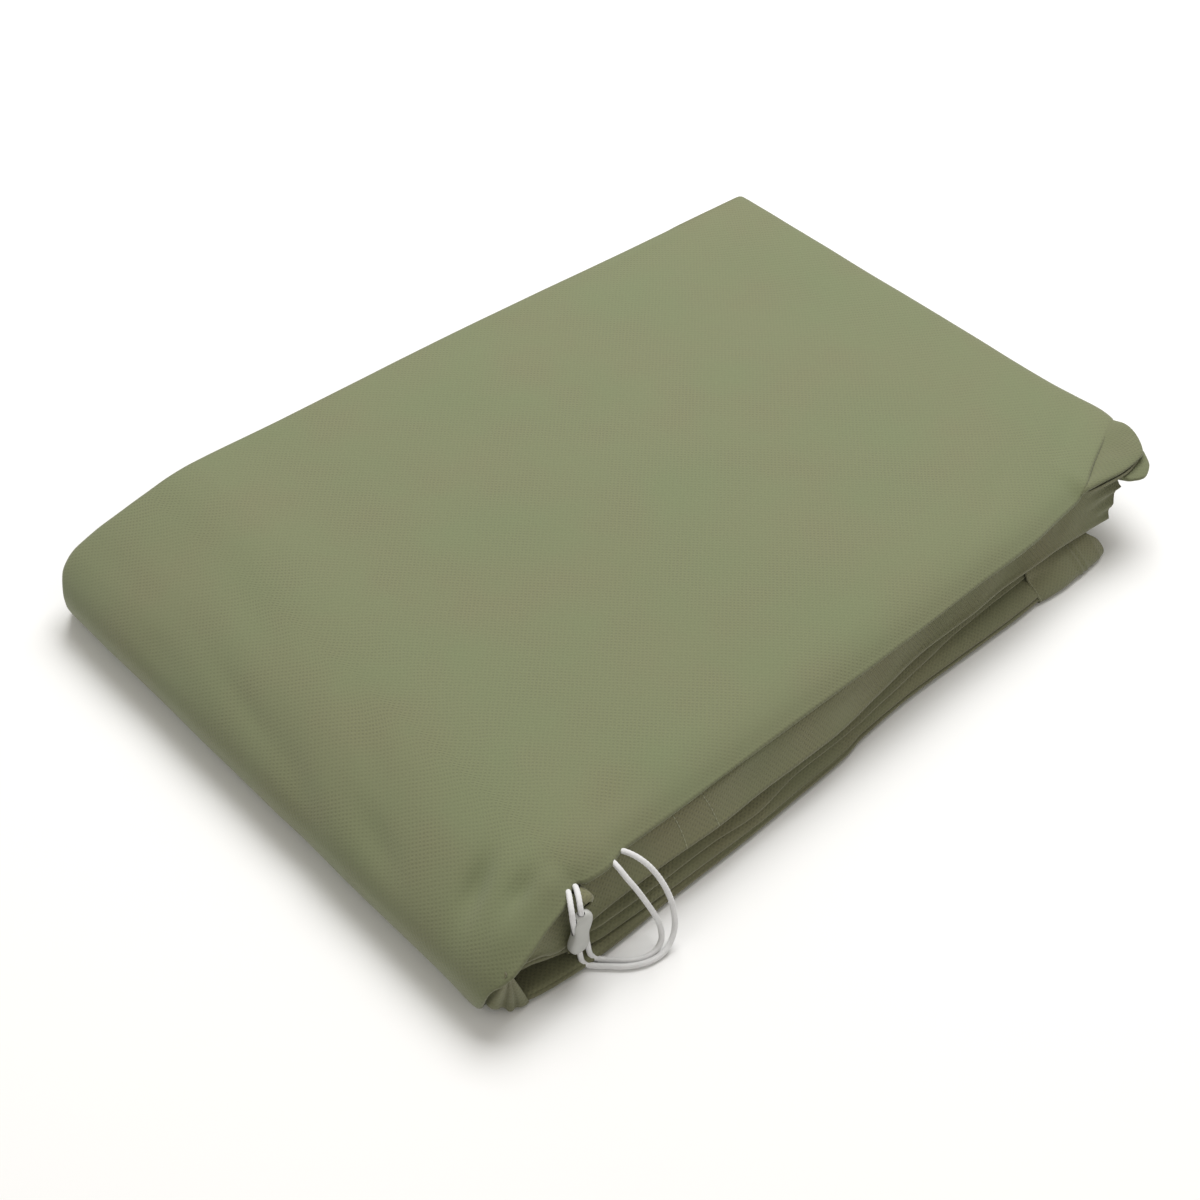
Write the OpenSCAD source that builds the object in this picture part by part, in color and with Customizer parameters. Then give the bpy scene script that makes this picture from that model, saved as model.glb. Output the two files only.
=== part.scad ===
// Folded drawcord sack of embossed non-woven cloth: a flat packet of leaves with a hinged cover leaf,
// a drawcord that leaves its casing at the front corner, and a sliding two-hole cord lock.
// Frame: origin at the centre of the base, +X from the spine fold to the open end, +Y to the back,
// +Z up. Millimetres.

/* [Packet] */
// Length from the spine fold to the open end
packet_l = 424; // [412:2:436]
// Width along the spine fold
packet_w = 312; // [308:2:320]
// Height of the folded stack
packet_h = 45; // [45:0.5:47]

/* [Leaves] */
// Thickness of one cover ply
ply_t = 2.4; // [2.2:0.1:2.5]
// Thickness of the base leaf
base_t = 5.4; // [5:0.1:5.6]
// Thickness of the leaf that carries the seam
seam_t = 6; // [5.6:0.1:6.2]
// Thickness of each inner leaf
inner_t = 4.6; // [4.2:0.1:4.8]
// Air left between neighbouring leaves
gap = 0.3; // [0.3:0.05:0.4]

/* [Drawcord] */
// Diameter of the braided drawcord
cord_d = 2.5; // [2.2:0.1:2.6]
// Distance between the two strands where they run side by side
strand_gap = 4.4; // [4.2:0.1:4.6]
// Width of the rolled casing that holds the drawcord
casing_w = 9; // [8.6:0.2:10]
// Height of the rolled casing
casing_h = 5; // [4.8:0.1:5]

/* [Cord lock] */
// Length of the lock along the strands
lock_l = 22; // [20:1:22]
// Width of one lobe of the lock
lock_w = 11; // [10:0.5:12]
// Thickness of the lock
lock_t = 5.4; // [5:0.2:5.6]
// Diameter of each strand hole
lock_hole_d = 3.1; // [3.1:0.1:3.3]

/* [Hidden] */
$fn = 48;

half_l = packet_l / 2;
half_w = packet_w / 2;

// Heights of the leaves, from the base up
seam_z = base_t + gap;
inner_1_z = seam_z + seam_t + gap;
inner_2_z = inner_1_z + inner_t + gap;
bundle_z = inner_2_z + inner_t + gap;
cover_outer_z = packet_h - ply_t;
cover_inner_z = cover_outer_z - gap - ply_t;
bundle_top = cover_inner_z - gap;

// Bundle plies between the two sheets of its fold; the uppermost is level with the casing
casing_top = bundle_top - ply_t - gap;
casing_z = casing_top - casing_h;
lower_ply_z = bundle_z + ply_t + gap;
thin_ply_t = (casing_z - gap - lower_ply_z - gap) / 2;
middle_ply_z = lower_ply_z + thin_ply_t + gap;

// The cover leaf starts here; to the left of it the cloth is the spine wrap
hinge_x = -half_l + 34;
split = 0.15;

// Where the bundle's thick part starts, and the pocket for the cord's end knot
bundle_x = -half_l + 66;
pocket_x = bundle_x + 24;
pocket_y = -half_w + 32;

// Casing
casing_x = -half_l + 53;
casing_near_y = -half_w + 6;
casing_far_y = half_w - 14;
casing_wall = 1;
inner_strand_y = -half_w + 20;
inner_strand_dx = 1.6;

// Cord lock, snug below the casing
lock_centre = [-164, -153.8, 23.5];
lock_lean = -8;
lock_lobe_shift = 1;

big = 1000;

// Outer curve of the spine in the XZ plane, from the flat top round to the floor
spine_knots = [[-half_l + 78, packet_h], [-half_l + 40, packet_h], [-half_l + 15, packet_h - 11.25],
               [-half_l, packet_h - 18], [-half_l, 17], [-half_l, 0], [-half_l + 14, 0]];
curve_steps = 7;

function bend(a, b, c, t) = (1 - t) * (1 - t) * a + 2 * t * (1 - t) * b + t * t * c;
function bend_run(k, first) =
    [for (i = [first : curve_steps])
        bend(spine_knots[k], spine_knots[k + 1], spine_knots[k + 2], i / curve_steps)];
spine_outer = concat(bend_run(0, 0), bend_run(2, 1), bend_run(4, 1));

function unit(v) = v / norm(v);
function ahead(p, i) = unit(p[min(i + 1, len(p) - 1)] - p[max(i - 1, 0)]);
function inward(p, t) = [for (i = [0 : len(p) - 1]) let (d = ahead(p, i)) p[i] + t * [-d[1], d[0]]];
function backwards(p) = [for (i = [len(p) - 1 : -1 : 0]) p[i]];

// Outline of the cover sheet seen from above, with the notch where the strands come out
cover_outline = [
    [-half_l, -half_w + 6], [-half_l + 6, -half_w], [-half_l + 14, -half_w], [-181, -154], [-168, -151],
    [-159, -146], [-152, -149], [94, -148], [145, -140], [199, -142], [207, -135], [half_l - 2, -124],
    [half_l, 137], [20, 150], [-79, 153], [-138, half_w], [-180, 154], [-half_l + 6, 151],
    [-half_l, 145]];

// The corner that is tucked under, right of its crease
tuck_outline = [[half_l - 3.4, -120.5], [156, -143], [199, -145], [half_l + 1, -135]];

// Near edge of the inner leaves, from left to right; they draw back towards the open end
function near_edge(flare, right) =
    [[-60, -149 - flare], [17, -145 - flare], [70, -140 - flare], [right, -138 - flare]];
function leaf_outline(left, right, flare, corner) = concat(
    [[left, -110], corner, [-150, -150 - flare]], near_edge(flare, right),
    [[right + 8, 134], [20, 146], [left + 30, 148], [left, 138]]);

base_outline = [
    [-half_l + 15, -138], [-half_l + 18, -150], [-half_l + 28, -153], [-172, -153.5],
    [-167, -151.5], [-152, -151.5], [-146, -155], [-112, -154], [-74, -153],
    [-6, -149], [51, -144], [174, -143], [182, -138], [185, -126],
    [193, 134], [20, 146], [-130, 150], [-half_l + 15, 148]];

module leaf(outline, z, t) {
    translate([0, 0, z]) linear_extrude(t) polygon(outline);
}

module along_y(near, far) {
    translate([0, far, 0]) rotate([90, 0, 0]) linear_extrude(far - near) children();
}

module right_of(x) {
    translate([x, -big / 2, -big / 2]) cube(big);
}

module left_of(x) {
    translate([x - big, -big / 2, -big / 2]) cube(big);
}

// ---- Lower leaves ----

module base_leaf() {
    color("darkolivegreen") leaf(base_outline, 0, base_t);
}

module seam_leaf() {
    color("olivedrab") leaf(leaf_outline(-196, 184, 1.5, [-168, -147]), seam_z, seam_t);
}

module lower_inner_leaf() {
    color("darkolivegreen") leaf(leaf_outline(-184, 188, 0, [-166, -146]), inner_1_z, inner_t);
}

module upper_inner_leaf() {
    color("olivedrab") leaf(leaf_outline(-184, 192, 0.5, [-164, -146]), inner_2_z, inner_t);
}

// Half-round folds that join two leaves at their ends
module return_fold(x, low_z, high_z, side) {
    radius = (high_z - low_z) / 2;
    intersection() {
        along_y(-96, 120) translate([x, low_z + radius]) difference() {
            circle(radius);
            circle(radius - ply_t);
        }
        if (side < 0) left_of(x); else right_of(x);
    }
}

module left_return_fold() {
    color("olive") return_fold(-196.2, seam_z, inner_1_z + inner_t, -1);
}

module right_return_fold() {
    color("olive") return_fold(200.5, inner_1_z, inner_2_z + inner_t, 1);
}

// ---- Bundle under the cover: a fold of cloth round three plies ----

bundle_outline = leaf_outline(-204, 197, 0.5, [-196, -148]);
bundle_inner_outline = leaf_outline(-188, 195, -3.2, [-182, -143]);
bundle_wall_z = bundle_z + 7;

module knot_pocket(floor_z) {
    translate([bundle_x - 1, -big, floor_z]) cube([pocket_x - bundle_x + 1, big + pocket_y, big]);
}

module bundle_fold() {
    color("darkolivegreen") difference() {
        leaf(bundle_outline, bundle_z, bundle_top - bundle_z);
        // Room for the plies, open at the spine, at the open end and at the back
        translate([0, 0, bundle_z + ply_t]) linear_extrude(bundle_top - bundle_z - 2 * ply_t)
            polygon([[-220, -140], [-150, -147.5], [-60, -146.5], [17, -142.5], [70, -137.5],
                     [240, -135.5], [240, 200], [-220, 200]]);
        // Left of the casing only the lower sheet goes on to the spine
        translate([bundle_x - big, -big / 2, bundle_wall_z]) cube(big);
        knot_pocket(bundle_top - ply_t - gap);
    }
}

module bundle_ply_lower() {
    color("olivedrab") leaf(bundle_inner_outline, lower_ply_z, thin_ply_t);
}

module bundle_ply_middle() {
    color("darkolivegreen") leaf(bundle_inner_outline, middle_ply_z, thin_ply_t);
}

module bundle_ply_upper() {
    color("olivedrab") difference() {
        intersection() {
            leaf(bundle_inner_outline, casing_z, casing_h - gap);
            right_of(bundle_x);
        }
        knot_pocket(casing_z);
    }
}

// ---- Spine and front corner ----

module cover_sheet() {
    outer = concat([[half_l + 10, packet_h]], spine_outer);
    inner = concat(backwards(inward(spine_outer, ply_t)), [[half_l + 10, cover_outer_z]]);
    intersection() {
        along_y(-half_w - 10, half_w + 10) polygon(concat(outer, inner));
        leaf(cover_outline, -1, packet_h + 2);
    }
}

module spine_wrap() {
    color("olive") intersection() {
        cover_sheet();
        left_of(hinge_x - split);
    }
}

module front_corner_flap() {
    color("olivedrab") along_y(-150.5, -148.5)
        polygon([[-200, 15.5], [-190, 19], [-178, 21], [-171, 20], [-174, 15], [-184, 13], [-194, 11]]);
}

module front_corner_pleats() {
    pleat_w = 5;
    pleat_pitch = pleat_w + 1.6;
    web = [2 * pleat_pitch + pleat_w, 1.6, 2];
    start = [-202, -150.6, base_t + gap];
    color("darkolivegreen") translate(start) {
        translate([0, 1, 0]) cube(web);
        for (k = [0 : 2])
            translate([k * pleat_pitch, -0.6 * k, 0]) rotate([90, 0, 90])
                linear_extrude(pleat_w) polygon([[-3, 0], [4, 0], [3, 4 - k], [0, 6.5 - k]]);
    }
}

// ---- Seams ----

module seam_tail_flap() {
    end_r = 5.4;
    color("olivedrab") along_y(-147, -145.4) {
        translate([128, 0.2]) square([50, 2 * end_r]);
        translate([178, 0.2 + end_r]) circle(end_r);
    }
}

module flap_seam_thread() {
    color("darkolivegreen") along_y(-147.6, -147) translate([130.5, 0.8]) square([0.6, 9.6]);
}

module side_seam_thread() {
    thread_t = 0.5;
    color("darkseagreen") {
        along_y(-151.6, -151.1) translate([-107, 25]) square([thread_t, 11]);
        along_y(-151.0, -150.5) translate([-90, 26]) square([thread_t, 11]);
    }
}

// ---- Casing and drawcord ----

module capsule(w, h) {
    for (side = [-1, 1]) translate([side * (w - h) / 2, 0]) circle(h / 2);
    translate([-(w - h) / 2, -h / 2]) square([w - h, h]);
}

module hem_casing() {
    slit_l = 9;
    color("olivedrab") difference() {
        along_y(casing_near_y, casing_far_y)
            translate([casing_x, casing_z + casing_h / 2]) capsule(casing_w, casing_h);
        along_y(casing_near_y + 2.5, casing_far_y - 2)
            translate([casing_x, casing_z + casing_h / 2])
                capsule(casing_w - 2 * casing_wall, casing_h - 2 * casing_wall);
        translate([casing_x - casing_w / 2 - 1, casing_near_y + 4, casing_z + casing_h / 2])
            cube([casing_w + 2, slit_l, casing_h]);
    }
}

module casing_stitches() {
    pitch = 6;
    stitch = [0.5, 3, 0.3];
    color("darkseagreen") for (y = [inner_strand_y + 4 : pitch : casing_far_y - 8])
        translate([casing_x + 1.5, y, casing_top]) cube(stitch);
}

module casing_drawcord() {
    color("whitesmoke") for (side = [-1, 1])
        along_y(inner_strand_y, casing_far_y - 4)
            translate([casing_x + side * inner_strand_dx, casing_z + casing_h / 2]) circle(d = cord_d);
}

// Routes of the two strands: out of the casing, through the lock, round on the floor, up and in
// below the cover to the knot. The stretch through the lock is straight.
strand_z = casing_z + casing_h / 2;
left_exit = [[casing_x - inner_strand_dx, inner_strand_y, strand_z],
             [casing_x - inner_strand_dx, inner_strand_y - 2, strand_z],
             [-161, -141.5, 36], [-162.2, -145, 38.3], [-164.6, -148.7, 39], [-166.3, -151.3, 38.2],
             [-167.4, -153.1, 36.5]];
left_loop = [[-163.4, -154.4, 3.7], [-162.2, -156.2, 2], [-160.4, -158.8, 1.4], [-157.4, -162.8, 1.4],
             [-153.4, -167, 1.4], [-148.4, -170.4, 1.4], [-142.6, -172.4, 1.4], [-136.6, -173, 1.6],
             [-131.2, -172.2, 3.6], [-127.4, -170.2, 7.6], [-125.4, -167.6, 13.4],
             [-124.8, -164.4, 20.4], [-125.8, -160.4, 28.2], [-128.4, -155.6, 35.8],
             [-131.4, -151, 40], [-133.8, -146.8, 41], [-135, -142.8, 40.6], [-136.2, -139.4, 39.6]];
right_exit = [[casing_x + inner_strand_dx, inner_strand_y, strand_z],
              [casing_x + inner_strand_dx, inner_strand_y - 2, strand_z],
              [-157.6, -141.5, 36], [-158.4, -145, 38.3], [-160.4, -148.7, 39], [-162, -151.3, 38.4],
              [-163.1, -153.1, 36.9]];
right_loop = [[-159, -154.4, 4.2], [-157.8, -156.2, 2.2], [-156, -158.6, 1.4], [-152.4, -162.8, 1.4],
              [-147.4, -166.8, 1.4], [-142, -169.2, 1.4], [-136.8, -169.4, 1.9],
              [-133.2, -168.2, 4.6], [-131.8, -166, 9], [-132.4, -163.6, 14.8],
              [-134.4, -160.6, 22], [-137, -157, 30], [-139.4, -153.2, 36.6], [-140.8, -149.6, 40.2],
              [-141.2, -145.8, 41], [-140.6, -142, 40.4], [-139.4, -139.2, 39.6]];
knot_centre = [-137.8, -136.8, 39];
knot_r = 3;

// Straight stretch through one hole of the lock, from its top to the end of the lock's travel
lock_up = [sin(lock_lean), 0, cos(lock_lean)];
lock_across = [cos(lock_lean), 0, -sin(lock_lean)];
function hole_point(side, t) = lock_centre + side * strand_gap / 2 * lock_across + t * lock_up;
function straight(side) = [for (t = [11.3, 5, -1, -7, -13, -17.6]) hole_point(side, t)];

function transport(p, i, n) = i >= len(p) ? [] :
    let (t = ahead(p, i), m = unit(n - (n * t) * t))
    concat([[m, cross(t, m)]], transport(p, i + 1, m));

module cord(route, start_normal) {
    sides = 8;
    frames = transport(route, 0, start_normal);
    last = len(route) - 1;
    points = [for (i = [0 : last]) for (k = [0 : sides - 1]) let (a = 360 * k / sides)
        route[i] + cord_d / 2 * (cos(a) * frames[i][0] + sin(a) * frames[i][1])];
    walls = [for (i = [0 : last - 1]) for (k = [0 : sides - 1]) let (n = (k + 1) % sides)
        [i * sides + n, i * sides + k, (i + 1) * sides + k, (i + 1) * sides + n]];
    ends = [[for (k = [0 : sides - 1]) k],
            [for (k = [sides - 1 : -1 : 0]) last * sides + k]];
    polyhedron(points, concat(walls, ends));
}

module drawcord_left() {
    color("white") cord(concat(left_exit, straight(-1), left_loop), [0, 0, 1]);
}

module drawcord_right() {
    color("white") cord(concat(right_exit, straight(1), right_loop), [0, 0, 1]);
}

module cord_end_knot() {
    color("white") translate(knot_centre) sphere(knot_r);
}

module cord_lock() {
    lobe_z = (lock_l - lock_w) / 2;
    color("gainsboro") translate(lock_centre) rotate([0, lock_lean, 0]) difference() {
        along_y(-lock_t / 2, lock_t / 2) {
            translate([lock_lobe_shift, lobe_z]) circle(d = lock_w);
            translate([-lock_lobe_shift, -lobe_z]) circle(d = lock_w);
            polygon([[lock_lobe_shift - lock_w / 2, lobe_z], [-lock_lobe_shift - lock_w / 2, -lobe_z],
                     [-lock_lobe_shift + lock_w / 2, -lobe_z], [lock_lobe_shift + lock_w / 2, lobe_z]]);
        }
        for (side = [-1, 1]) translate([side * strand_gap / 2, 0, 0])
            cylinder(h = 2 * lock_l, d = lock_hole_d, center = true);
    }
}

// ---- Cover leaf ----

module tuck_zone() {
    translate([0, 0, bundle_top + gap / 2]) linear_extrude(big) polygon(tuck_outline);
}

module cover_outer_ply() {
    color("darkseagreen") difference() {
        intersection() {
            cover_sheet();
            right_of(hinge_x + split);
        }
        tuck_zone();
    }
}

module cover_inner_ply() {
    color("olivedrab") difference() {
        intersection() {
            leaf(cover_outline, cover_inner_z, ply_t);
            right_of(bundle_x + 12);
        }
        translate([bundle_x - 10, -big, 0]) cube([pocket_x - bundle_x + 12, big + pocket_y + 2, big]);
        tuck_zone();
    }
}

module corner_tuck() {
    color("darkseagreen") intersection() {
        leaf(cover_outline, cover_outer_z - 1.2, ply_t);
        translate([0, 0, 1]) tuck_zone();
    }
}

base_leaf();
seam_leaf();
lower_inner_leaf();
upper_inner_leaf();
bundle_fold();
bundle_ply_lower();
bundle_ply_middle();
bundle_ply_upper();
left_return_fold();
right_return_fold();
spine_wrap();
front_corner_flap();
front_corner_pleats();
seam_tail_flap();
flap_seam_thread();
side_seam_thread();
hem_casing();
casing_stitches();
casing_drawcord();
drawcord_left();
drawcord_right();
cord_end_knot();
cord_lock();
cover_outer_ply();
cover_inner_ply();
corner_tuck();
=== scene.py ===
"""Looks of a folded drawcord sack of embossed non-woven cloth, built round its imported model.

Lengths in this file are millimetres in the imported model's frame, turned into metres as each mesh is
made: the origin is at the centre of the base, +X runs from the spine fold to the open end, +Y to the
back and +Z up.
"""
import logging
import math
from dataclasses import dataclass, field
from enum import Enum
from typing import Sequence

import bmesh
import bpy
import numpy as np
from mathutils import Matrix, Vector, noise


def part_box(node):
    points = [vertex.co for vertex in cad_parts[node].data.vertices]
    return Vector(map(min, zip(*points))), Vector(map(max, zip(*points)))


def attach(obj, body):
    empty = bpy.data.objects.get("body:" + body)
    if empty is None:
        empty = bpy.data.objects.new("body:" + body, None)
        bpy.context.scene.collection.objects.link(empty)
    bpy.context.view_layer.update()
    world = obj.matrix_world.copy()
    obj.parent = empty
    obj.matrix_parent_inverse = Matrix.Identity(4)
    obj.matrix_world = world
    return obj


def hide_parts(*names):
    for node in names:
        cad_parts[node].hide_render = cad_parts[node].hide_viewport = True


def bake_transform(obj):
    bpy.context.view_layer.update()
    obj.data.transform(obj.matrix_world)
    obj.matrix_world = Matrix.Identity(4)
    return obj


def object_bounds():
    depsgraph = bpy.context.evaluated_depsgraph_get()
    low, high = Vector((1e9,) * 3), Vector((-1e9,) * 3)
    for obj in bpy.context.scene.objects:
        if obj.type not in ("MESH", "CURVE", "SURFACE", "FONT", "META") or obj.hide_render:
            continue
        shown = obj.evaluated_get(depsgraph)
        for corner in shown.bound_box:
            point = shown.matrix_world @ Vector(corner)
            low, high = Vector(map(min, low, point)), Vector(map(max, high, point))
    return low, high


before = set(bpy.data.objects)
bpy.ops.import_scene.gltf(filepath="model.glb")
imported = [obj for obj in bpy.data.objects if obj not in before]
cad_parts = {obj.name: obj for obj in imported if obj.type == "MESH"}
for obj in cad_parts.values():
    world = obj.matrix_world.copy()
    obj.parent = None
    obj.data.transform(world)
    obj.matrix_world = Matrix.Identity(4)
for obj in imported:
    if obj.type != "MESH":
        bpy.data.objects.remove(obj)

MM = 0.001
CAD_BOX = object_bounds()

Array = np.ndarray
Colour = tuple[float, float, float]
Knots = Sequence[tuple[float, float]]
Point = tuple[float, float, float]

# The sack's back edge, as the cover's y along x; the leaves stop a little short of it
BACK_EDGE: Knots = ((-212, 147), (-206, 153), (-196, 156), (-180, 157), (-138, 157), (-79, 154.5),
                    (20, 151), (120, 145), (212, 139.5))

# The cord lock's middle, its lean in degrees and the spacing of the two strands through it
LOCK_CENTRE: Point = (-164.0, -153.8, 23.5)
LOCK_LEAN = -8.0
STRAND_GAP = 4.4

log = logging.getLogger("drawcord_sack")


class Body(str, Enum):
    """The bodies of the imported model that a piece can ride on."""

    STACK = "folded_stack"
    COVER = "cover_leaf"
    LOCK = "cord_lock"


class Slot(str, Enum):
    """The record's material slots."""

    OUTER = "cloth_outer"
    INNER = "cloth_inner"
    THREAD = "thread"
    CORD = "cord"
    LOCK = "lock_plastic"


# ---------------------------------------------------------------------------------------------
# Curves and meshes


def box_mm(node: str) -> tuple[Array, Array]:
    """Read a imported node's box.

    Args:
        node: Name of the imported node.

    Returns:
        Its lowest and highest corners in millimetres.
    """
    low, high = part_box(node)
    return np.array(low) / MM, np.array(high) / MM


def follow(knots: Knots, at: Array) -> Array:
    """Read a smooth line that runs through its knots and never overshoots them.

    Args:
        knots: (place, value) pairs in rising order of place.
        at: Places to read the line at.

    Returns:
        The value at each place, held level beyond the end knots.
    """
    place = np.array([k[0] for k in knots], float)
    value = np.array([k[1] for k in knots], float)
    step = np.diff(place)
    slope = np.diff(value) / step
    tangent = np.concatenate([slope[:1], np.zeros(len(value) - 2), slope[-1:]])
    for i in range(1, len(value) - 1):
        if slope[i - 1] * slope[i] > 0:
            tangent[i] = 2 / (1 / slope[i - 1] + 1 / slope[i])
    k = np.clip(np.searchsorted(place, at, side="right") - 1, 0, len(step) - 1)
    t = np.clip((at - place[k]) / step[k], 0, 1)
    near, far = value[k], value[k + 1]
    return (near * (1 + 2 * t) * (1 - t) ** 2 + tangent[k] * step[k] * t * (1 - t) ** 2
            + far * t * t * (3 - 2 * t) + tangent[k + 1] * step[k] * t * t * (t - 1))


def ease(t: Array) -> Array:
    """Turn a 0 to 1 ramp into one with soft ends."""
    t = np.clip(t, 0, 1)
    return t * t * (3 - 2 * t)


def loft(rails: Sequence[Array], steps: Sequence[int]) -> Array:
    """Sweep a soft skin across rails, through every one of them.

    Args:
        rails: Rails of equal length, each an array of stations by 3.
        steps: Columns to make between each rail and the next.

    Returns:
        Points of the skin, stations by columns by 3.
    """
    line = [2 * rails[0] - rails[1], *rails, 2 * rails[-1] - rails[-2]]
    spread = [np.maximum(np.sqrt(np.linalg.norm(b - a, axis=1)), 1e-3)[:, None]
              for a, b in zip(line, line[1:])]
    columns = [rails[0]]
    for k, count in enumerate(steps):
        p0, p1, p2, p3 = line[k:k + 4]
        t1 = spread[k]
        t2 = t1 + spread[k + 1]
        t3 = t2 + spread[k + 2]
        for s in range(1, count + 1):
            t = t1 + (t2 - t1) * s / count
            a1 = ((t1 - t) * p0 + t * p1) / t1
            a2 = ((t2 - t) * p1 + (t - t1) * p2) / (t2 - t1)
            a3 = ((t3 - t) * p2 + (t - t2) * p3) / (t3 - t2)
            b1 = ((t2 - t) * a1 + t * a2) / t2
            b2 = ((t3 - t) * a2 + (t - t1) * a3) / (t3 - t1)
            columns.append(((t2 - t) * b1 + (t - t1) * b2) / (t2 - t1))
    return np.stack(columns, axis=1)


def rail(x: Array, y: Array | float, z: Array | float) -> Array:
    """Gather x, y and z, which may be single numbers, into one rail."""
    return np.stack(np.broadcast_arrays(x, y, z), axis=-1).astype(float)


def facing(skin: Array) -> Array:
    """Work out which way a skin faces.

    Args:
        skin: Points, stations by columns by 3.

    Returns:
        A unit normal for each point.
    """
    normal = np.cross(np.gradient(skin, axis=0), np.gradient(skin, axis=1))
    return normal / np.maximum(np.linalg.norm(normal, axis=2, keepdims=True), 1e-9)


def run_along(path: Array) -> Array:
    """Measure how far along its path each point is."""
    return np.concatenate([[0], np.cumsum(np.linalg.norm(np.diff(path, axis=0), axis=1))])


def cloth_lengths(skin: Array) -> Array:
    """Measure along and across a skin, as if it were laid flat.

    Args:
        skin: Points, stations by columns by 3.

    Returns:
        Lengths along and across, stations by columns by 2.
    """
    middle = skin[:, skin.shape[1] // 2]
    along = run_along(middle)
    across = np.linalg.norm(np.diff(skin, axis=1), axis=2).cumsum(axis=1)
    across = np.concatenate([np.zeros((len(skin), 1)), across], axis=1)
    across -= across[:, across.shape[1] // 2, None]
    return np.stack([np.broadcast_to(along[:, None], across.shape), across], axis=2)


def ripple(flat: Array, wave: tuple[float, float], height: float, seed: int) -> Array:
    """Make soft, uneven waves for a skin.

    Args:
        flat: Lengths along and across, from cloth_lengths.
        wave: Wavelengths along and across.
        height: Height of the largest wave.
        seed: Picks one pattern of waves.

    Returns:
        A height for each point.
    """
    u = (flat[..., 0] / wave[0]).ravel()
    v = (flat[..., 1] / wave[1]).ravel()
    level = [noise.noise(Vector((a, b, seed * 7.31))) for a, b in zip(u, v)]
    return height * np.array(level).reshape(flat.shape[:2])


@dataclass(frozen=True)
class Dent:
    """A shallow hollow, or with a negative depth a swelling, in a skin."""

    at: Point
    reach: tuple[float, float]
    depth: float
    turn: float = 0.0

    def sink(self, skin: Array) -> Array:
        """Work out how far the dent lowers each point.

        Args:
            skin: Points, stations by columns by 3.

        Returns:
            A depth for each point.
        """
        turn = math.radians(self.turn)
        x, y = skin[..., 0] - self.at[0], skin[..., 1] - self.at[1]
        z = skin[..., 2] - self.at[2]
        along = x * math.cos(turn) + y * math.sin(turn)
        across = y * math.cos(turn) - x * math.sin(turn)
        spread = (along / self.reach[0]) ** 2 + (across / self.reach[1]) ** 2 + (z / self.reach[0]) ** 2
        return self.depth * np.exp(-spread)


def new_mesh(name: str, points: Array, faces: Sequence[Sequence[int]]) -> bpy.types.Object:
    """Make an object in the scene from points in millimetres.

    Args:
        name: Name of the piece.
        points: Its corners, any number by 3.
        faces: Its faces, as lists of corner numbers.

    Returns:
        The new object, at the origin, with smooth shading.
    """
    mesh = bpy.data.meshes.new(name)
    mesh.from_pydata((points * MM).tolist(), [], faces)
    mesh.polygons.foreach_set("use_smooth", [True] * len(mesh.polygons))
    piece = bpy.data.objects.new(name, mesh)
    bpy.context.scene.collection.objects.link(piece)
    return piece


def corner_uv(piece: bpy.types.Object, flat: Array) -> None:
    """Give each corner of a piece its place on the cloth laid flat.

    Args:
        piece: The piece.
        flat: A (along, across) pair in millimetres for each of its points.
    """
    mesh = piece.data
    layer = mesh.uv_layers.new(name="ClothLengths")
    owner = np.empty(len(mesh.loops), int)
    mesh.loops.foreach_get("vertex_index", owner)
    layer.data.foreach_set("uv", (flat[owner] * MM).astype(np.float32).ravel())


def painted_shade(skin: Array) -> Array:
    """Find where a skin is creased, so that painted shade can darken the finish there.

    Args:
        skin: Points, stations by columns by 3.

    Returns:
        From 0 on flat cloth to 1 on a sharp fold or an edge.
    """
    crease_radius = 1.6
    normal = facing(skin)
    turn = np.zeros(skin.shape[:2])
    for axis in (0, 1):
        bend = np.linalg.norm(np.gradient(normal, axis=axis), axis=2)
        run = np.linalg.norm(np.gradient(skin, axis=axis), axis=2)
        turn = np.maximum(turn, bend / np.maximum(run, 1e-6))
    shade_mask = np.clip(turn * crease_radius, 0, 1)
    shade_mask[[0, -1], :] = 1
    shade_mask[:, [0, -1]] = 1
    return shade_mask


def thin_solid(name: str, skin: Array, thickness: float,
               extra_shade: Array | float = 0.0) -> bpy.types.Object:
    """Turn a skin into a closed sheet of cloth.

    Args:
        name: Name of the piece.
        skin: Middle of the cloth, stations by columns by 3.
        thickness: Thickness of the cloth.
        extra_shade: How much painted shade each point gets, from 0 to 1, besides the painted shade at its
            creases.

    Returns:
        The sheet, with cloth lengths as its UV map and the painted shade of its creases and other darkened
        places as an attribute.
    """
    rows, columns = skin.shape[:2]
    lift = facing(skin) * thickness / 2
    points = np.concatenate([(skin + lift).reshape(-1, 3), (skin - lift).reshape(-1, 3)])
    number = np.arange(rows * columns).reshape(rows, columns)
    below = number + rows * columns
    quads = np.stack([number[:-1, :-1], number[1:, :-1], number[1:, 1:], number[:-1, 1:]], axis=2)
    faces = quads.reshape(-1, 4)
    walls = [faces, (faces + rows * columns)[:, ::-1]]
    rim = np.concatenate([number[:-1, -1], number[-1, :0:-1], number[:0:-1, 0], number[0, :-1]])
    under = np.concatenate([below[:-1, -1], below[-1, :0:-1], below[:0:-1, 0], below[0, :-1]])
    following, under_following = np.roll(rim, -1), np.roll(under, -1)
    walls.append(np.stack([rim, following, under_following, under], axis=1))
    piece = new_mesh(name, points, np.concatenate(walls).tolist())
    corner_uv(piece, np.concatenate([cloth_lengths(skin).reshape(-1, 2)] * 2))
    # The attribute carries painted shade: the finish darkens creases, edges and whatever extra shade is
    # asked for.
    shade_mask = piece.data.attributes.new("painted_shade", "FLOAT", "POINT")
    darkened = np.maximum(painted_shade(skin), extra_shade)
    shade_mask.data.foreach_set("value", np.tile(darkened.ravel(), 2).astype(np.float32))
    piece.data.set_sharp_from_angle(angle=math.radians(62))
    return piece


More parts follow.
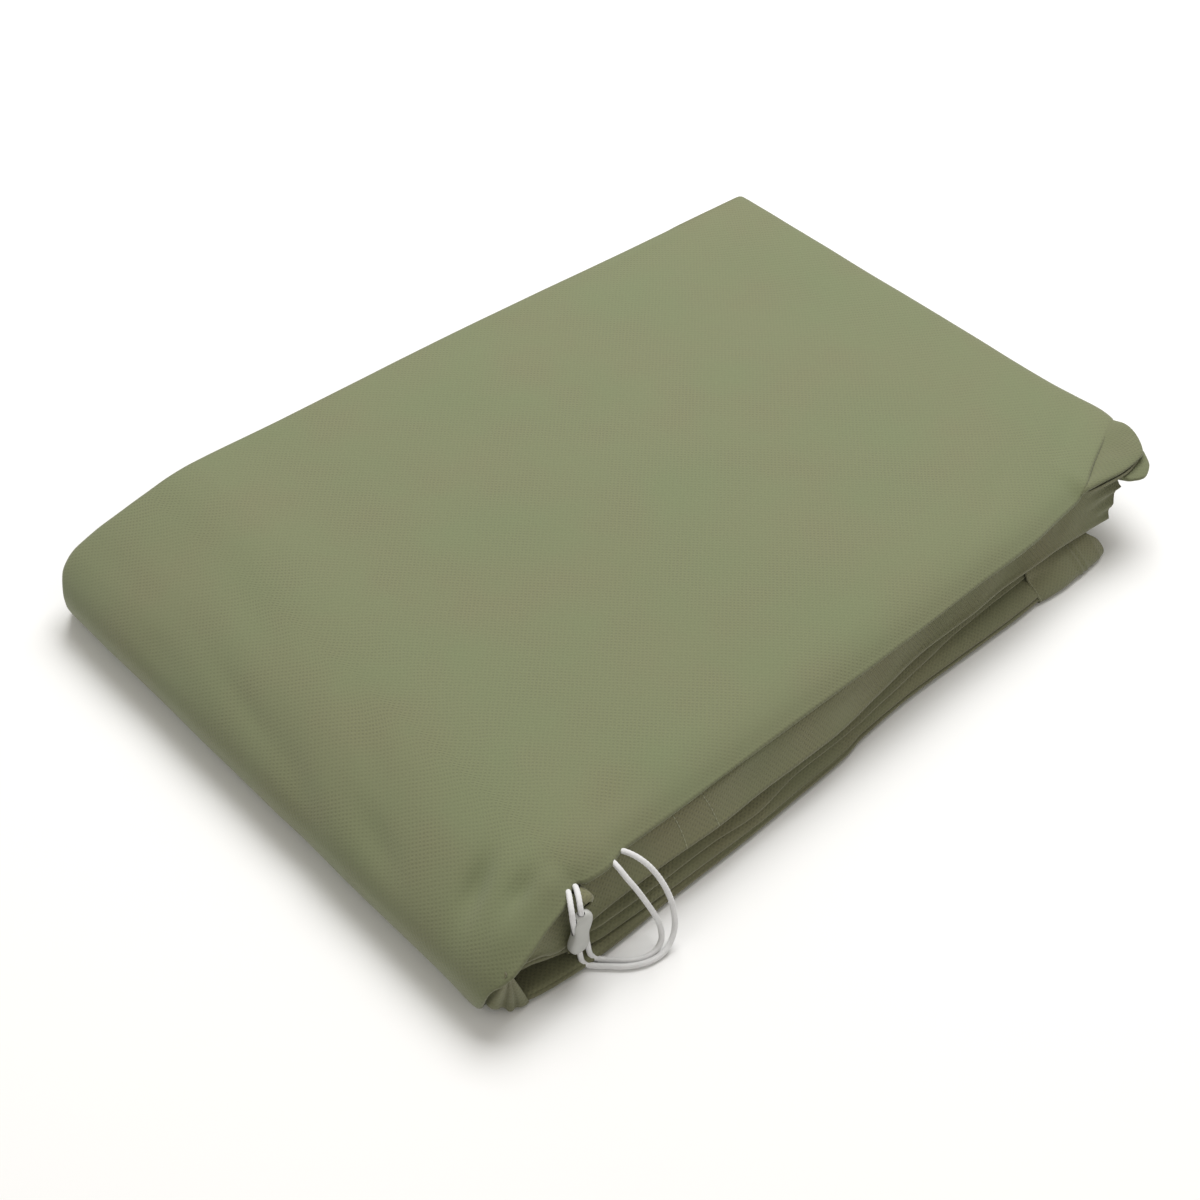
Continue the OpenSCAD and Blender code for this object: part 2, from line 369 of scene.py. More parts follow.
def smooth_path(route: Sequence[Point], spacing: float) -> Array:
    """Draw one smooth curve through a route's points.

    Args:
        route: The points.
        spacing: Greatest distance between neighbouring points of the result.

    Returns:
        Evenly spaced points of the curve.
    """
    rails = [np.array([p], float) for p in route]
    fine = loft(rails, [16] * (len(route) - 1))[0]
    run = run_along(fine)
    at = np.linspace(0, run[-1], max(2, math.ceil(run[-1] / spacing) + 1))
    return np.stack([np.interp(at, run, fine[:, k]) for k in range(3)], axis=1)


def resample(path: Array, share: Array) -> Array:
    """Read an evenly spaced path at shares of its length, from 0 to 1."""
    place = np.linspace(0, 1, len(path))
    return np.stack([np.interp(share, place, path[:, k]) for k in range(3)], axis=1)


def tube(path: Array, radius: Array, closed: bool = False) -> tuple[Array, Array, Array]:
    """Wrap a tube round a path without twisting it.

    Args:
        path: Middle of the tube, rings by 3.
        radius: Radius of each corner of each ring, rings by sides.
        closed: Whether the last ring meets the first.

    Returns:
        The corners, the faces and each corner's (along, around) length.
    """
    rings, sides = radius.shape
    if closed:
        ahead = np.roll(path, -1, axis=0) - np.roll(path, 1, axis=0)
    else:
        ahead = np.gradient(path, axis=0)
    ahead /= np.linalg.norm(ahead, axis=1, keepdims=True)
    side = np.cross(ahead[0], (0.31, 0.22, 0.92))
    frames = []
    for direction in ahead:
        side = side - (side @ direction) * direction
        side /= np.linalg.norm(side)
        frames.append((side, np.cross(direction, side)))
    angle = np.arange(sides) * 2 * math.pi / sides
    ring = [path[i] + radius[i][:, None] * (np.cos(angle)[:, None] * frames[i][0]
                                           + np.sin(angle)[:, None] * frames[i][1])
            for i in range(rings)]
    points = np.concatenate(ring)
    number = np.arange(rings * sides).reshape(rings, sides)
    low, high = (number, np.roll(number, -1, axis=0)) if closed else (number[:-1], number[1:])
    turned_low, turned_high = np.roll(low, -1, axis=1), np.roll(high, -1, axis=1)
    faces = np.stack([low, turned_low, turned_high, high], axis=2).reshape(-1, 4)
    run = run_along(path)
    flat = np.stack(np.broadcast_arrays(run[:, None], angle[None] * radius.mean()), axis=2)
    return points, faces, flat.reshape(-1, 2)


def end_caps(rings: int, sides: int) -> list[list[int]]:
    """List the corners of a tube's two end faces."""
    last = (rings - 1) * sides
    return [list(range(sides - 1, -1, -1)), list(range(last, last + sides))]


def join_parts(parts: Sequence[tuple[Array, list]]) -> tuple[Array, list]:
    """Put several sets of corners and faces into one.

    Args:
        parts: (corners, faces) pairs.

    Returns:
        All corners and all faces, renumbered.
    """
    corners, faces, start = [], [], 0
    for points, own in parts:
        corners.append(points)
        faces += [[start + c for c in face] for face in own]
        start += len(points)
    return np.concatenate(corners), faces


# ---------------------------------------------------------------------------------------------
# Finishes


def place_nodes(tree: bpy.types.NodeTree, spots: dict[str, tuple[float, float]]) -> None:
    """Set out a tree's nodes by label.

    Args:
        tree: The node tree.
        spots: A place on the canvas for each label.
    """
    for node in tree.nodes:
        if node.label in spots:
            node.location = spots[node.label]


@dataclass(frozen=True)
class NonWoven:
    """Matt spun-bonded cloth, pressed with a lattice of small bond points."""

    name: str
    base: Colour
    green: Colour
    brown: Colour
    dent_shade: float = 0.88
    pitch: float = 1.7
    dent_depth: float = 0.13
    fibre_depth: float = 0.05
    # Colour of the painted shade laid on creases, edges and other darkened places, and its greatest
    # strength
    shade_colour: Colour = (0.1, 0.094, 0.052)
    fold_shade_strength: float = 0.4
    roughness: float = 0.86
    sheen: float = 0.22
    specular: float = 0.22

    def material(self) -> bpy.types.Material:
        """Write out the cloth's nodes.

        Returns:
            The material.
        """
        made = bpy.data.materials.new(self.name)
        made.use_nodes = True
        tree = made.node_tree
        nodes, links = tree.nodes, tree.links
        nodes.clear()

        lattice_frame = nodes.new("NodeFrame")
        lattice_frame.label = "Pressed bond points"
        fibre_frame = nodes.new("NodeFrame")
        fibre_frame.label = "Matted fibres"
        tone_frame = nodes.new("NodeFrame")
        tone_frame.label = "Uneven dye"
        # Painted shade: creases, edges and other marked places are darkened and browned towards the shade
        # colour
        shade_frame = nodes.new("NodeFrame")
        shade_frame.label = "Soiled folds and edges"
        finish_frame = nodes.new("NodeFrame")
        finish_frame.label = "Surface"

        lengths = nodes.new("ShaderNodeUVMap")
        lengths.label = "Lengths along the cloth"
        lengths.uv_map = "ClothLengths"

        turn = nodes.new("ShaderNodeMapping")
        turn.label = "Set the lattice on the bias"
        turn.parent = lattice_frame
        turn.inputs["Rotation"].default_value = (0, 0, math.radians(45))
        turn.inputs["Scale"].default_value = (math.pi / (self.pitch * MM),) * 3
        links.new(lengths.outputs["UV"], turn.inputs["Vector"])

        waver = nodes.new("ShaderNodeTexNoise")
        waver.label = "Waver of the press rolls"
        waver.parent = lattice_frame
        waver.inputs["Scale"].default_value = 260
        waver.inputs["Detail"].default_value = 1
        links.new(lengths.outputs["UV"], waver.inputs["Vector"])

        nudge = nodes.new("ShaderNodeVectorMath")
        nudge.label = "Nudge the points off their rows"
        nudge.parent = lattice_frame
        nudge.operation = "MULTIPLY_ADD"
        nudge.inputs[1].default_value = (1.1, 1.1, 0)
        links.new(waver.outputs["Color"], nudge.inputs[0])
        links.new(turn.outputs["Vector"], nudge.inputs[2])

        axes = nodes.new("ShaderNodeSeparateXYZ")
        axes.label = "Two ways across the lattice"
        axes.parent = lattice_frame
        links.new(nudge.outputs["Vector"], axes.inputs["Vector"])

        wave_a = nodes.new("ShaderNodeMath")
        wave_a.label = "Rows one way"
        wave_a.parent = lattice_frame
        wave_a.operation = "SINE"
        links.new(axes.outputs["X"], wave_a.inputs[0])

        wave_b = nodes.new("ShaderNodeMath")
        wave_b.label = "Rows the other way"
        wave_b.parent = lattice_frame
        wave_b.operation = "SINE"
        links.new(axes.outputs["Y"], wave_b.inputs[0])

        crossing = nodes.new("ShaderNodeMath")
        crossing.label = "Where the rows cross"
        crossing.parent = lattice_frame
        crossing.operation = "MULTIPLY"
        links.new(wave_a.outputs["Value"], crossing.inputs[0])
        links.new(wave_b.outputs["Value"], crossing.inputs[1])

        both_signs = nodes.new("ShaderNodeMath")
        both_signs.label = "Count every crossing"
        both_signs.parent = lattice_frame
        both_signs.operation = "ABSOLUTE"
        links.new(crossing.outputs["Value"], both_signs.inputs[0])

        point = nodes.new("ShaderNodeMapRange")
        point.label = "Round bond point"
        point.parent = lattice_frame
        point.interpolation_type = "SMOOTHSTEP"
        point.inputs["From Min"].default_value = 0.35
        point.inputs["From Max"].default_value = 0.95
        links.new(both_signs.outputs["Value"], point.inputs["Value"])

        patchy = nodes.new("ShaderNodeTexNoise")
        patchy.label = "Press deeper in places"
        patchy.parent = lattice_frame
        patchy.inputs["Scale"].default_value = 34
        patchy.inputs["Detail"].default_value = 2
        links.new(lengths.outputs["UV"], patchy.inputs["Vector"])

        press = nodes.new("ShaderNodeMapRange")
        press.label = "How deep the press went"
        press.parent = lattice_frame
        press.inputs["From Min"].default_value = 0.3
        press.inputs["From Max"].default_value = 0.7
        press.inputs["To Min"].default_value = 0.45
        press.inputs["To Max"].default_value = 1.0
        links.new(patchy.outputs["Fac"], press.inputs["Value"])

        bond = nodes.new("ShaderNodeMath")
        bond.label = "Bond points, patchy"
        bond.parent = lattice_frame
        bond.operation = "MULTIPLY"
        links.new(point.outputs["Result"], bond.inputs[0])
        links.new(press.outputs["Result"], bond.inputs[1])

        stretch = nodes.new("ShaderNodeMapping")
        stretch.label = "Draw the fibres out lengthwise"
        stretch.parent = fibre_frame
        stretch.inputs["Scale"].default_value = (900, 2100, 1)
        links.new(lengths.outputs["UV"], stretch.inputs["Vector"])

        fibres = nodes.new("ShaderNodeTexNoise")
        fibres.label = "Fibres"
        fibres.parent = fibre_frame
        fibres.inputs["Scale"].default_value = 1
        fibres.inputs["Detail"].default_value = 4
        fibres.inputs["Roughness"].default_value = 0.65
        fibres.inputs["Distortion"].default_value = 0.6
        links.new(stretch.outputs["Vector"], fibres.inputs["Vector"])

        cloud = nodes.new("ShaderNodeTexNoise")
        cloud.label = "Clouds of dye"
        cloud.parent = tone_frame
        cloud.inputs["Scale"].default_value = 17
        cloud.inputs["Detail"].default_value = 3
        cloud.inputs["Roughness"].default_value = 0.55
        links.new(lengths.outputs["UV"], cloud.inputs["Vector"])

        tint = nodes.new("ShaderNodeValToRGB")
        tint.label = "Greener to browner"
        tint.parent = tone_frame
        ramp = tint.color_ramp
        ramp.elements[0].position = 0.32
        ramp.elements[0].color = (*self.green, 1)
        ramp.elements[1].position = 0.68
        ramp.elements[1].color = (*self.brown, 1)
        centre = ramp.elements.new(0.5)
        centre.color = (*self.base, 1)
        links.new(cloud.outputs["Fac"], tint.inputs["Fac"])

        fibre_tone = nodes.new("ShaderNodeMapRange")
        fibre_tone.label = "Lighter and darker fibres"
        fibre_tone.parent = tone_frame
        fibre_tone.inputs["From Min"].default_value = 0.25
        fibre_tone.inputs["From Max"].default_value = 0.75
        fibre_tone.inputs["To Min"].default_value = 0.9
        fibre_tone.inputs["To Max"].default_value = 1.1
        links.new(fibres.outputs["Fac"], fibre_tone.inputs["Value"])

        bond_tone = nodes.new("ShaderNodeMapRange")
        bond_tone.label = "Darker at the bond points"
        bond_tone.parent = tone_frame
        bond_tone.inputs["To Min"].default_value = 1.04
        bond_tone.inputs["To Max"].default_value = self.dent_shade
        links.new(bond.outputs["Value"], bond_tone.inputs["Value"])

        tone = nodes.new("ShaderNodeMath")
        tone.label = "Both tones"
        tone.parent = tone_frame
        tone.operation = "MULTIPLY"
        links.new(fibre_tone.outputs["Result"], tone.inputs[0])
        links.new(bond_tone.outputs["Result"], tone.inputs[1])

        toned = nodes.new("ShaderNodeVectorMath")
        toned.label = "Tone the dye"
        toned.parent = tone_frame
        toned.operation = "SCALE"
        links.new(tint.outputs["Color"], toned.inputs[0])
        links.new(tone.outputs["Value"], toned.inputs["Scale"])

        # Painted shade from the mesh's attribute, mixed into the dye
        crease = nodes.new("ShaderNodeAttribute")
        crease.label = "Creases and edges"
        crease.parent = shade_frame
        crease.attribute_name = "painted_shade"

        soil_and_shade = nodes.new("ShaderNodeMapRange")
        soil_and_shade.label = "How far they are soiled"
        soil_and_shade.parent = shade_frame
        soil_and_shade.inputs["To Max"].default_value = self.fold_shade_strength
        links.new(crease.outputs["Fac"], soil_and_shade.inputs["Value"])

        darkened = nodes.new("ShaderNodeMix")
        darkened.label = "Shadowed where creased"
        darkened.parent = shade_frame
        darkened.data_type = "RGBA"
        darkened.inputs["B"].default_value = (*self.shade_colour, 1)
        links.new(soil_and_shade.outputs["Result"], darkened.inputs["Factor"])
        links.new(toned.outputs["Vector"], darkened.inputs["A"])

        fibre_bump = nodes.new("ShaderNodeBump")
        fibre_bump.label = "Raise the fibres"
        fibre_bump.parent = finish_frame
        fibre_bump.inputs["Strength"].default_value = 0.5
        fibre_bump.inputs["Distance"].default_value = self.fibre_depth * MM
        links.new(fibres.outputs["Fac"], fibre_bump.inputs["Height"])

        bond_bump = nodes.new("ShaderNodeBump")
        bond_bump.label = "Sink the bond points"
        bond_bump.parent = finish_frame
        bond_bump.invert = True
        bond_bump.inputs["Strength"].default_value = 0.8
        bond_bump.inputs["Distance"].default_value = self.dent_depth * MM
        links.new(bond.outputs["Value"], bond_bump.inputs["Height"])
        links.new(fibre_bump.outputs["Normal"], bond_bump.inputs["Normal"])

        gloss = nodes.new("ShaderNodeMapRange")
        gloss.label = "Bond points are smoother"
        gloss.parent = finish_frame
        gloss.inputs["To Min"].default_value = self.roughness
        gloss.inputs["To Max"].default_value = self.roughness - 0.22
        links.new(bond.outputs["Value"], gloss.inputs["Value"])

        surface = nodes.new("ShaderNodeBsdfPrincipled")
        surface.label = "Cloth"
        surface.parent = finish_frame
        surface.inputs["Specular IOR Level"].default_value = self.specular
        surface.inputs["Sheen Weight"].default_value = self.sheen
        surface.inputs["Sheen Roughness"].default_value = 0.55
        links.new(darkened.outputs["Result"], surface.inputs["Base Color"])
        links.new(gloss.outputs["Result"], surface.inputs["Roughness"])
        links.new(bond_bump.outputs["Normal"], surface.inputs["Normal"])

        output = nodes.new("ShaderNodeOutputMaterial")
        output.label = "Out"
        links.new(surface.outputs["BSDF"], output.inputs["Surface"])

        place_nodes(tree, {
            "Lengths along the cloth": (-1900, 0), "Set the lattice on the bias": (-1650, 420),
            "Waver of the press rolls": (-1650, 100), "Nudge the points off their rows": (-1400, 420),
            "Two ways across the lattice": (-1200, 420), "Rows one way": (-1000, 520),
            "Rows the other way": (-1000, 340), "Where the rows cross": (-800, 420),
            "Count every crossing": (-600, 420), "Round bond point": (-400, 420),
            "Press deeper in places": (-800, 160), "How deep the press went": (-600, 160),
            "Bond points, patchy": (-200, 320), "Draw the fibres out lengthwise": (-1400, -260),
            "Fibres": (-1180, -260), "Clouds of dye": (-1180, -600), "Greener to browner": (-960, -600),
            "Lighter and darker fibres": (-700, -340), "Darker at the bond points": (-700, -80),
            "Both tones": (-460, -220), "Tone the dye": (-240, -400), "Creases and edges": (-460, -700),
            "How far they are soiled": (-240, -700), "Shadowed where creased": (0, -420),
            "Raise the fibres": (0, -140), "Sink the bond points": (220, -60),
            "Bond points are smoother": (0, 160), "Cloth": (460, 0), "Out": (760, 0)})
        return made


@dataclass(frozen=True)
class Strand:
    """Twisted or braided yarn: drawcord and sewing thread."""

    name: str
    base: Colour
    shade: Colour
    lay: float
    yarn_depth: float
    roughness: float = 0.7
    sheen: float = 0.3

    def material(self) -> bpy.types.Material:
        """Write out the yarn's nodes.

        Returns:
            The material.
        """
        made = bpy.data.materials.new(self.name)
        made.use_nodes = True
        tree = made.node_tree
        nodes, links = tree.nodes, tree.links
        nodes.clear()

        yarn_frame = nodes.new("NodeFrame")
        yarn_frame.label = "Yarn"
        soil_and_shade_frame = nodes.new("NodeFrame")
        soil_and_shade_frame.label = "Handling marks"
        finish_frame = nodes.new("NodeFrame")
        finish_frame.label = "Surface"

        lengths = nodes.new("ShaderNodeUVMap")
        lengths.label = "Lengths along the yarn"
        lengths.uv_map = "ClothLengths"

        slant = nodes.new("ShaderNodeMapping")
        slant.label = "Slant of the filaments"
        slant.parent = yarn_frame
        slant.inputs["Rotation"].default_value = (0, 0, math.radians(38))
        slant.inputs["Scale"].default_value = (1 / (self.lay * MM), 1 / (self.lay * MM), 1)
        links.new(lengths.outputs["UV"], slant.inputs["Vector"])

        filaments = nodes.new("ShaderNodeTexWave")
        filaments.label = "Filaments"
        filaments.parent = yarn_frame
        filaments.inputs["Scale"].default_value = 0.6
        filaments.inputs["Distortion"].default_value = 1.4
        filaments.inputs["Detail"].default_value = 2
        links.new(slant.outputs["Vector"], filaments.inputs["Vector"])

        soil_and_shade = nodes.new("ShaderNodeTexNoise")
        soil_and_shade.label = "Grey from handling"
        soil_and_shade.parent = soil_and_shade_frame
        soil_and_shade.inputs["Scale"].default_value = 160
        soil_and_shade.inputs["Detail"].default_value = 3
        links.new(lengths.outputs["UV"], soil_and_shade.inputs["Vector"])

        # Painted shade along the filaments, laid where the random grey from handling falls
        mixed = nodes.new("ShaderNodeMath")
        mixed.label = "Hollows and marks"
        mixed.parent = soil_and_shade_frame
        mixed.operation = "MULTIPLY"
        links.new(filaments.outputs["Fac"], mixed.inputs[0])
        links.new(soil_and_shade.outputs["Fac"], mixed.inputs[1])

        colour = nodes.new("ShaderNodeMix")
        colour.label = "Clean to shaded yarn"
        colour.parent = soil_and_shade_frame
        colour.data_type = "RGBA"
        colour.inputs["A"].default_value = (*self.base, 1)
        colour.inputs["B"].default_value = (*self.shade, 1)
        links.new(mixed.outputs["Value"], colour.inputs["Factor"])

        bump = nodes.new("ShaderNodeBump")
        bump.label = "Round the filaments"
        bump.parent = finish_frame
        bump.inputs["Strength"].default_value = 0.6
        bump.inputs["Distance"].default_value = self.yarn_depth * MM
        links.new(filaments.outputs["Fac"], bump.inputs["Height"])

        surface = nodes.new("ShaderNodeBsdfPrincipled")
        surface.label = "Yarn"
        surface.parent = finish_frame
        surface.inputs["Roughness"].default_value = self.roughness
        surface.inputs["Specular IOR Level"].default_value = 0.3
        surface.inputs["Sheen Weight"].default_value = self.sheen
        links.new(colour.outputs["Result"], surface.inputs["Base Color"])
        links.new(bump.outputs["Normal"], surface.inputs["Normal"])

        output = nodes.new("ShaderNodeOutputMaterial")
        output.label = "Out"
        links.new(surface.outputs["BSDF"], output.inputs["Surface"])

        place_nodes(tree, {
            "Lengths along the yarn": (-1100, 0), "Slant of the filaments": (-880, 120),
            "Filaments": (-660, 120), "Grey from handling": (-660, -200), "Hollows and marks": (-420, -80),
            "Clean to shaded yarn": (-200, -80), "Round the filaments": (-200, 200), "Yarn": (40, 0),
            "Out": (340, 0)})
        return made


@dataclass(frozen=True)
class MouldedPlastic:
    """Pale satin plastic with a faint spark-eroded grain."""

    name: str
    base: Colour
    shade: Colour
    roughness: float = 0.42
    grain_depth: float = 0.03

    def material(self) -> bpy.types.Material:
        """Write out the plastic's nodes.

        Returns:
            The material.
        """
        made = bpy.data.materials.new(self.name)
        made.use_nodes = True
        tree = made.node_tree
        nodes, links = tree.nodes, tree.links
        nodes.clear()

        flow_frame = nodes.new("NodeFrame")
        flow_frame.label = "Flow of the moulding"
        grain_frame = nodes.new("NodeFrame")
        grain_frame.label = "Grain and scuffs"

        place = nodes.new("ShaderNodeTexCoord")
        place.label = "Place on the lock"

        flow = nodes.new("ShaderNodeTexNoise")
        flow.label = "Cloudy resin"
        flow.parent = flow_frame
        flow.inputs["Scale"].default_value = 110
        flow.inputs["Detail"].default_value = 2
        links.new(place.outputs["Object"], flow.inputs["Vector"])

        colour = nodes.new("ShaderNodeMix")
        colour.label = "Clear to milky"
        colour.parent = flow_frame
        colour.data_type = "RGBA"
        colour.inputs["A"].default_value = (*self.base, 1)
        colour.inputs["B"].default_value = (*self.shade, 1)
        links.new(flow.outputs["Fac"], colour.inputs["Factor"])

        grain = nodes.new("ShaderNodeTexNoise")
        grain.label = "Spark-eroded grain"
        grain.parent = grain_frame
        grain.inputs["Scale"].default_value = 2600
        grain.inputs["Detail"].default_value = 2
        links.new(place.outputs["Object"], grain.inputs["Vector"])

        scuff = nodes.new("ShaderNodeMapRange")
        scuff.label = "Scuffed patches are duller"
        scuff.parent = grain_frame
        scuff.inputs["To Min"].default_value = self.roughness - 0.08
        scuff.inputs["To Max"].default_value = self.roughness + 0.12
        links.new(flow.outputs["Fac"], scuff.inputs["Value"])

        bump = nodes.new("ShaderNodeBump")
        bump.label = "Raise the grain"
        bump.parent = grain_frame
        bump.inputs["Strength"].default_value = 0.4
        bump.inputs["Distance"].default_value = self.grain_depth * MM
        links.new(grain.outputs["Fac"], bump.inputs["Height"])

        surface = nodes.new("ShaderNodeBsdfPrincipled")
        surface.label = "Plastic"
        surface.inputs["IOR"].default_value = 1.49
        surface.inputs["Subsurface Weight"].default_value = 0.12
        surface.inputs["Subsurface Radius"].default_value = (0.002, 0.002, 0.002)
        links.new(colour.outputs["Result"], surface.inputs["Base Color"])
        links.new(scuff.outputs["Result"], surface.inputs["Roughness"])
        links.new(bump.outputs["Normal"], surface.inputs["Normal"])

        output = nodes.new("ShaderNodeOutputMaterial")
        output.label = "Out"
        links.new(surface.outputs["BSDF"], output.inputs["Surface"])

        place_nodes(tree, {
            "Place on the lock": (-900, 0), "Cloudy resin": (-680, 120), "Clear to milky": (-420, 120),
            "Spark-eroded grain": (-680, -200), "Scuffed patches are duller": (-420, -60),
            "Raise the grain": (-420, -300), "Plastic": (-120, 0), "Out": (200, 0)})
        return made


@dataclass(frozen=True)
class PaleFloor:
    """Even, pale studio floor."""

    name: str = "studio_floor"
    light: Colour = (0.92, 0.92, 0.92)
    dark: Colour = (0.88, 0.88, 0.88)

    def material(self) -> bpy.types.Material:
        """Write out the floor's nodes.

        Returns:
            The material.
        """
        made = bpy.data.materials.new(self.name)
        made.use_nodes = True
        nodes, links = made.node_tree.nodes, made.node_tree.links
        nodes.clear()

        place = nodes.new("ShaderNodeTexCoord")
        place.label = "Place on the floor"

        cloud = nodes.new("ShaderNodeTexNoise")
        cloud.label = "Faint clouds"
        cloud.inputs["Scale"].default_value = 3
        links.new(place.outputs["Object"], cloud.inputs["Vector"])

        colour = nodes.new("ShaderNodeMix")
        colour.label = "Pale paint"
        colour.data_type = "RGBA"
        colour.inputs["A"].default_value = (*self.light, 1)
        colour.inputs["B"].default_value = (*self.dark, 1)
        links.new(cloud.outputs["Fac"], colour.inputs["Factor"])

        surface = nodes.new("ShaderNodeBsdfPrincipled")
        surface.label = "Floor"
        surface.inputs["Roughness"].default_value = 0.9
        surface.inputs["Specular IOR Level"].default_value = 0.1
        links.new(colour.outputs["Result"], surface.inputs["Base Color"])

        output = nodes.new("ShaderNodeOutputMaterial")
        output.label = "Out"
        links.new(surface.outputs["BSDF"], output.inputs["Surface"])

        place_nodes(made.node_tree, {
            "Place on the floor": (-700, 0), "Faint clouds": (-480, 0), "Pale paint": (-240, 0),
            "Floor": (20, 0), "Out": (320, 0)})
        return made


@dataclass
class Wardrobe:
    """Every finish of the sack, each made once and shared by the pieces dressed in it."""

    outer: bpy.types.Material = field(init=False)
    inner: bpy.types.Material = field(init=False)
    thread: bpy.types.Material = field(init=False)
    cord: bpy.types.Material = field(init=False)
    plastic: bpy.types.Material = field(init=False)

    def __post_init__(self) -> None:
        """Make the materials."""
        self.outer = NonWoven("sage_cloth_outer", base=(0.177, 0.194, 0.102),
                              green=(0.171, 0.196, 0.101), brown=(0.183, 0.19, 0.102)).material()
        # The inner cloth is the outer cloth made browner and a little darker, with darker bond points:
        # painted shade for the leaves that lie under the cover
        self.inner = NonWoven("sage_cloth_inner", base=(0.178, 0.18, 0.098),
                              green=(0.17, 0.181, 0.097), brown=(0.185, 0.178, 0.098),
                              dent_shade=0.82, dent_depth=0.16).material()
        self.thread = Strand("olive_sewing_thread", base=(0.31, 0.32, 0.21), shade=(0.22, 0.22, 0.14),
                             lay=0.5, yarn_depth=0.05).material()
        self.cord = Strand("white_braided_cord", base=(0.86, 0.86, 0.86), shade=(0.5, 0.5, 0.52),
                           lay=0.7, yarn_depth=0.1).material()
        self.plastic = MouldedPlastic("pale_moulded_plastic", base=(0.54, 0.545, 0.52),
                                      shade=(0.43, 0.435, 0.415)).material()

    def dress(self, piece: bpy.types.Object, slot: Slot) -> bpy.types.Object:
        """Put the slot's finish on a piece.

        Args:
            piece: The piece.
            slot: The record's material slot.

        Returns:
            The same piece.
        """
        finish = {Slot.OUTER: self.outer, Slot.INNER: self.inner, Slot.THREAD: self.thread,
                  Slot.CORD: self.cord, Slot.LOCK: self.plastic}[slot]
        piece.data.materials.clear()
        piece.data.materials.append(finish)
        return piece


# ---------------------------------------------------------------------------------------------
# Cloth pieces


@dataclass(frozen=True)
class Sheet:
    """Which imported nodes a cloth piece stands for, and where it belongs."""

    nodes: tuple[str, ...]
    body: Body = Body.STACK
    slot: Slot = Slot.INNER

    def settle(self, piece: bpy.types.Object, wardrobe: Wardrobe, skin: Array,
               rides: bool = True) -> bpy.types.Object:
        """Dress a cloth piece, work out its flat size and hand it to its body.

        Args:
            piece: The piece.
            wardrobe: The finishes.
            skin: Middle of the cloth, which its flat size is worked out from.
            rides: Whether the piece is handed to its body; if not, it is left unattached.

        Returns:
            The same piece.
        """
        flat = cloth_lengths(skin)
        wardrobe.dress(piece, self.slot)
        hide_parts(*self.nodes)
        if rides:
            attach(piece, self.body.value)
        return piece


@dataclass
class FoldedLeaf:
    """A leaf of cloth folded over itself, with its fold along the near side."""

    name: str
    sheet: Sheet
    near: Knots
    lip: Knots
    top: float
    under: float
    left: float
    right: float
    near_left: float
    near_right: float
    back_inset: float = 5.0
    recess: float = 4.0
    shoulder: float = 0.0
    lip_roll: float = 1.0
    cloth: float = 0.7
    station: float = 2.6
    seed: int = 1
    unevenness: float = 0.5
    # Columns of the mesh between each rail and the next
    columns: tuple[int, ...] = (6, 12, 8, 5, 4, 4, 4, 3, 3, 4, 4, 8, 12, 6)
    skin: Array = field(init=False)

    def rails(self, u: Array) -> list[Array]:
        """Lay out the rails, from the upper sheet's back edge round the fold to the lower one's.

        Args:
            u: Share of the way from the left end to the right end.

        Returns:
            The rails.
        """
        def ends(share: float) -> Array:
            """Run x between the two ends, which draw in towards the near side.

            Args:
                share: Share of the way from the back to the near side.

            Returns:
                The x of each station.
            """
            left = self.left + (self.near_left - self.left) * share
            right = self.right + (self.near_right - self.right) * share
            return left + (right - left) * u

        x = ends(1)
        near, lip = follow(self.near, x), follow(self.lip, x)
        back = follow(BACK_EDGE, ends(0)) - self.back_inset
        crest = self.top + self.shoulder
        return [
            rail(ends(0), back, self.top),
            rail(ends(0.1), back - 24, self.top),
            rail(ends(0.5), near + 46, self.top),
            rail(ends(0.85), near + self.recess + 9, self.top + 0.4 * self.shoulder),
            rail(x, near + self.recess + 1.2, crest),
            rail(x, near + self.recess * 0.72, crest * 0.8 + lip * 0.2),
            rail(x, near + self.recess * 0.3, crest * 0.45 + lip * 0.55),
            rail(x, near + 0.15, lip + self.lip_roll),
            rail(x, near, lip),
            rail(x, near + 0.9 * self.lip_roll, lip - 0.8 * self.lip_roll),
            rail(x, near + 5, (self.under + lip - self.lip_roll) / 2),
            rail(ends(0.85), near + 12, self.under),
            rail(ends(0.5), near + 46, self.under),
            rail(ends(0.1), back - 26, self.under),
            rail(ends(0), back - 3, self.under)]

    def shape(self, skin: Array) -> Array:
        """Add what this leaf has beyond its rails; a plain leaf has nothing."""
        return skin

    def waves(self, skin: Array) -> Array:
        """Make the cloth's unevenness, strongest at its free edges.

        Args:
            skin: Points, stations by columns by 3.

        Returns:
            A height for each point.
        """
        flat = cloth_lengths(skin)
        long_wave = ripple(flat, (70, 46), self.unevenness, self.seed)
        short_wave = ripple(flat, (17, 9), self.unevenness * 0.3, self.seed + 40)
        return long_wave + short_wave

    def build(self, wardrobe: Wardrobe) -> bpy.types.Object:
        """Build the leaf and hand it to its body.

        Args:
            wardrobe: The finishes.

        Returns:
            The leaf.
        """
        count = math.ceil((self.right - self.left) / self.station)
        u = np.linspace(0, 1, count + 1)
        skin = self.finish(self.shape(loft(self.rails(u), self.columns)))
        piece = thin_solid(self.name, skin, self.cloth)
        return self.sheet.settle(piece, wardrobe, skin)

    def finish(self, skin: Array) -> Array:
        """Fray the back edges a little, raise the waves and keep the cloth off the floor.

        Args:
            skin: Points, stations by columns by 3.

        Returns:
            The finished points, which are also kept as this leaf's skin.
        """
        column = np.arange(skin.shape[1])
        margin = ease(1 - np.minimum(column, column[::-1]) / 6)
        skin = skin.copy()
        skin[..., 1] += ripple(cloth_lengths(skin), (26, 60), 2.2, self.seed + 9) * margin
        skin = skin + facing(skin) * self.waves(skin)[..., None]
        skin[..., 2] = np.maximum(skin[..., 2], self.cloth * 0.55)
        self.skin = skin
        return skin


